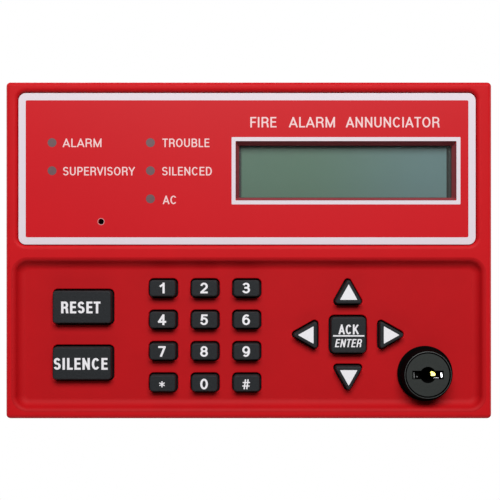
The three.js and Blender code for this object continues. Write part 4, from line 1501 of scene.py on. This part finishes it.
@dataclass
class Keyswitch:
    """The keyswitch: a black housing through the cover, and a plug with a slotted well."""

    x: float = LOCK_AT[0]
    z: float = LOCK_AT[1]
    foot: float = 30.3
    face: float = 38.7
    plug: float = 10.28
    well: float = 3.65
    slot_floor: float = 34.9
    slot: tuple[float, float] = (7.1, 1.85)
    shaft: float = 6.0
    shaft_foot: float = 11.0
    disc_back: float = 33.7
    well_floor: float = 22.4
    lean: float = 0.36

    def build_housing(self) -> None:
        """Turns the housing: barrel, flange, tapered body, lip and stepped bore, as one closed profile."""
        profile = np.array([
            (8.9, 11.3), (9.3, 11.7), (9.3, self.foot), (12.8, self.foot), (13.0, 30.5), (13.0, 31.3),
            (12.93, 31.55), (12.75, 31.72), (12.5, 31.8), (12.2, 31.85), (12.05, 32.0), (11.95, 32.3),
            (11.1, self.face - 0.45), (11.02, self.face - 0.2), (10.88, self.face - 0.05), (10.75, self.face),
            (10.6, self.face), (10.46, self.face - 0.06), (10.38, self.face - 0.2), (10.38, 33.4),
            (6.4, 33.4), (6.4, 11.3),
        ])
        # Steps 14 and 15, the lip round the face, take the paler grey of a painted highlight.
        housing = revolved(profile, self.x, self.z, range(14, 16))
        finishes = [dressed(NYLON), dressed(NYLON_GLINT)]
        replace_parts(housing.piece("lock_body", Body.HOUSING.value, finishes, "lock_plastic"), "lock_housing")

    def build_plug(self) -> None:
        """Builds the plug: shaft, disc, and the slot and well sunk in its face."""
        skin = Skin()
        disc, shaft = (Disc(self.x, self.z, radius, LOCK_STEPS) for radius in (self.plug, self.shaft))
        face = self.face - 0.35
        keyway = Keyway(self.x, self.z, self.well, *self.slot)
        shaft_end = skin.ring(shaft, 0.0, self.shaft_foot)
        skin.fill(shaft_end, [], False)
        neck = skin.wall(shaft, np.array([(0, self.shaft_foot), (0, self.disc_back)]), shaft_end)
        back = skin.ring(disc, 0.0, self.disc_back)
        skin.bridge(neck, back)
        edge = skin.wall(disc, np.concatenate([
            [(0.0, self.disc_back)], fillet((0.0, face - 0.35), (-0.35, face), True, 5),
        ]), back)
        lip = skin.ring(keyway, 0.15, face)
        skin.fill(edge, [lip], mark=1)
        slot = skin.wall(keyway, np.concatenate([
            fillet((0.15, face), (0.0, face - 0.15), False, 3), [(0.0, self.slot_floor)],
        ]), lip)
        well = Disc(self.x, self.z, self.well - 0.25)
        step = skin.ring(well, 0.0, self.slot_floor)
        skin.fill(slot, [step])
        skin.fill(skin.wall(well, np.array([(0, self.slot_floor), (0, self.well_floor)]), step), [])
        finishes = [dressed(NYLON), dressed(NYLON_FACE)]
        plug = skin.piece("lock_plug_face", Body.ROTOR.value, finishes, "lock_plastic")
        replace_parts(plug, "lock_plug")

    def build_works(self) -> None:
        """Builds what shows in the keyway: a brass pin and gate, a steel stop and lip, and an arm with painted
        highlights on its left edge and in a spot.

        Each piece is a small block: how far it lies from the axis, its width, height and corner radius, and
        the d of its rear and its front. All but the arm lean forward towards their lower edge.
        """
        pieces = [
            ("brass_pin", (2.6, 0.5), (2.1, 2.1, 0.2), (30.0, 37.2), BRASS),
            ("brass_gate", (4.6, 0.4), (1.7, 1.7, 0.2), (30.0, 34.5), BRASS),
            ("steel_stop", (6.45, -0.1), (0.95, 2.4, 0.3), (34.8, 37.6), STEEL),
            ("steel_lip", (4.0, -1.45), (2.4, 0.28, 0.1), (34.8, 36.8), STEEL),
            ("left_arm", (-5.4, 0.0), (3.2, 3.4, 0.3), (34.8, 36.6), NYLON),
            # The left edge and spot are small blocks in paler grey: painted highlights at the slot's left end.
            ("left_edge_glint", (-6.3, -0.2), (0.5, 2.8, 0.2), (36.0, 37.6), NYLON_GLINT),
            ("left_glint_spot", (-4.9, -0.9), (0.7, 0.6, 0.25), (36.0, 37.2), NYLON_GLINT),
        ]
        for name, (across, up), size, (rear, front), finish in pieces:
            skin = slab(rounded_rect(self.x + across, self.z + up, *size), rear, front, 0.12)
            if name != "left_arm":
                skin.points = [block - [0, 0, 1] * (block[:, 1:2] - self.z) * self.lean
                               for block in skin.points]
            slot = "lock_plastic" if finish in (NYLON, NYLON_GLINT) else "zinc_steel"
            skin.piece(f"keyway_{name}", Body.ROTOR.value, [dressed(finish)], slot)

    def build(self) -> None:
        """Builds the housing and the plug, and dresses what is behind the cover."""
        self.build_housing()
        self.build_plug()
        self.build_works()
        for node in ("lock_nut", "lock_cam", "lock_cam_screw"):
            repaint(node, STEEL)
        repaint("lock_microswitch", EPOXY)
        repaint("keyswitch_lead", PVC)
        repaint("keyswitch_connector", IVORY_NYLON)


@dataclass
class Electronics:
    """The boards, what is soldered to them, and the screws that hold them."""

    def build(self) -> None:
        """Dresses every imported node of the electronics."""
        finishes = {
            "main_board": RESIST, "piezo_sounder": EPOXY, "terminal_block": GREEN_NYLON,
            "address_switch": EPOXY, "address_dial": IVORY_NYLON, "microcontroller_chip": EPOXY,
            "bus_driver_chip": EPOXY, "filter_capacitor": EPOXY,
        }
        for node, finish in finishes.items():
            repaint(node, finish)
        for name in LAMPS:
            repaint(f"led_{name}", LAMP_EPOXY)
        for family, count in (("board", len(BOARD_SCREWS)), ("display", len(DISPLAY_SCREWS))):
            for number in range(1, count + 1):
                repaint(f"{family}_screw_{number}", STEEL)


@dataclass
class CoverScrews:
    """The two screws that hold the cover, sunk in its bottom edge, with their heads facing down."""

    head: float = 2.95
    shank: float = 1.5
    thick: float = 1.7
    long: float = 8.8
    sink: float = 1.0
    cross: tuple[float, float] = (1.7, 0.42)

    def build(self) -> None:
        """Builds each screw facing the viewer, and turns it to face down: z becomes -d and d becomes z."""
        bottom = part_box("front_cover")[0].z / MM
        for number, x in enumerate(COVER_SCREW_X, 1):
            skin = Skin()
            shank, head = (Disc(0, 0, radius, HOLE_STEPS) for radius in (self.shank, self.head))
            cross = Cross(0, 0, *self.cross)
            end = -self.thick - self.long
            tip = skin.ring(shank, -0.4, end)
            skin.fill(tip, [], False)
            neck = skin.wall(shank, np.array([(-0.4, end), (0, end + 0.4), (0, -self.thick)]), tip)
            under = skin.ring(head, 0.0, -self.thick)
            skin.bridge(neck, under)
            rim = skin.wall(head, np.concatenate([
                [(0.0, -self.thick)], fillet((0.0, -0.7), (-0.9, 0.0), True, 6),
            ]), under)
            mouth = skin.ring(cross, 0.0, 0.0)
            skin.fill(rim, [mouth])
            skin.fill(skin.wall(cross, np.array([(0, 0), (-0.12, -self.sink)]), mouth), [])
            points = skin.all_points()
            turned = np.column_stack([x + points[:, 0], -(COVER_SCREW_DEPTH + points[:, 1]),
                                      bottom - points[:, 2]])
            screw = make_piece(f"cover_screw_{number}_steel", turned * MM, skin.faces, Body.HOUSING.value,
                               [dressed(STEEL)])
            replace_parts(screw, f"cover_screw_{number}")


# ---------------------------------------------------------------- studio


@dataclass
class Studio:
    """The camera, the lights and a pale floor."""

    distance: float = 400.0
    lens: float = 61.5
    sensor: float = 36.0
    x: float = 5.0
    z: float = -18.0
    middle: tuple[float, float] = (0.6, 0.1)
    fill: float = 0.05
    floor_reach: float = 0.5
    floor_level: float = -0.6

    def set_camera(self) -> None:
        """Stands the camera in front of the panel, square to the wall, and shifts its view onto the panel."""
        camera = bpy.data.cameras.new("camera")
        camera.lens = self.lens
        camera.sensor_width = self.sensor
        seen = self.sensor / self.lens * self.distance
        camera.shift_x = (self.middle[0] - self.x) / seen
        camera.shift_y = (self.middle[1] - self.z) / seen
        camera.clip_start = 0.01
        stand = bpy.data.objects.new("camera", camera)
        stand.location = (self.x * MM, -(self.distance + LEVEL.rim) * MM, self.z * MM)
        stand.rotation_euler = (math.pi / 2, 0, 0)
        bpy.context.scene.collection.objects.link(stand)
        bpy.context.scene.camera = stand

    def add_light(self, name: str, place: tuple[float, float, float], aim: tuple[float, float, float],
                  size: tuple[float, float], watts: float) -> None:
        """Hangs a soft rectangular light.

        Args:
            name: the light's name.
            place: where it hangs, in metres.
            aim: the point that it faces.
            size: its width and height in metres.
            watts: its power.
        """
        light = bpy.data.lights.new(name, "AREA")
        light.shape = "RECTANGLE"
        light.size, light.size_y = size
        light.energy = watts
        lamp = bpy.data.objects.new(name, light)
        lamp.location = place
        lamp.rotation_euler = (Vector(aim) - Vector(place)).to_track_quat("-Z", "Y").to_euler()
        bpy.context.scene.collection.objects.link(lamp)

    def set_world(self) -> None:
        """Sets white surroundings, which the camera sees in full and which light the panel only faintly."""
        world = bpy.data.worlds.new("pale surroundings")
        world.use_nodes = True
        tree = world.node_tree
        tree.nodes.clear()
        path = add_node(tree, "ShaderNodeLightPath")
        seen = add_node(tree, "ShaderNodeBackground", {"Color": (1, 1, 1, 1), "Strength": 1.0})
        cast = add_node(tree, "ShaderNodeBackground", {"Color": (1, 1, 1, 1), "Strength": self.fill})
        mixed = add_node(tree, "ShaderNodeMixShader", {
            0: path.outputs["Is Camera Ray"], 1: cast.outputs[0], 2: seen.outputs[0],
        })
        add_node(tree, "ShaderNodeOutputWorld", {"Surface": mixed.outputs[0]})
        bpy.context.scene.world = world
        bpy.context.scene.view_settings.view_transform = "Standard"

    def lay_floor(self) -> None:
        """Lays a square sheet of pale paper below the panel."""
        mesh = bpy.data.meshes.new("floor")
        reach, level = self.floor_reach, self.floor_level
        mesh.from_pydata([(-reach, -reach, level), (reach, -reach, level), (reach, reach, level),
                          (-reach, reach, level)], [], [(0, 1, 2, 3)])
        mesh.materials.append(dressed(PALE_FLOOR))
        floor = bpy.data.objects.new("floor", mesh)
        bpy.context.scene.collection.objects.link(floor)

    def build(self) -> None:
        """Sets the camera, the lights, the pale surroundings and the floor."""
        self.set_camera()
        self.add_light("key light", (0.05, -1.15, 0.82), (0, 0, 0), (1.1, 0.6), 21.8)
        self.add_light("rear light", (-0.4, 1.2, 0.9), (0, 0, 0), (1.0, 1.0), 20.0)
        for side in (-1, 1):
            self.add_light("side light", (1.2 * side, 0.35, 0.2), (0, 0.1, 0), (0.6, 0.8), 6.0)
        self.set_world()
        self.lay_floor()


def main() -> None:
    """Builds the studio and every sub-assembly."""
    logging.basicConfig(level=logging.INFO, format="%(name)s: %(message)s")
    Studio().build()
    keypad = Keypad()
    keypad.lay_out()
    for part in (CoverMoulding(keypad.keys), WallBox(), FaceLabel(), Display(), keypad, Keyswitch(),
                 Electronics(), CoverScrews()):
        part.build()
        log.info("%s is built", type(part).__name__)


if __name__ == "__main__":
    main()
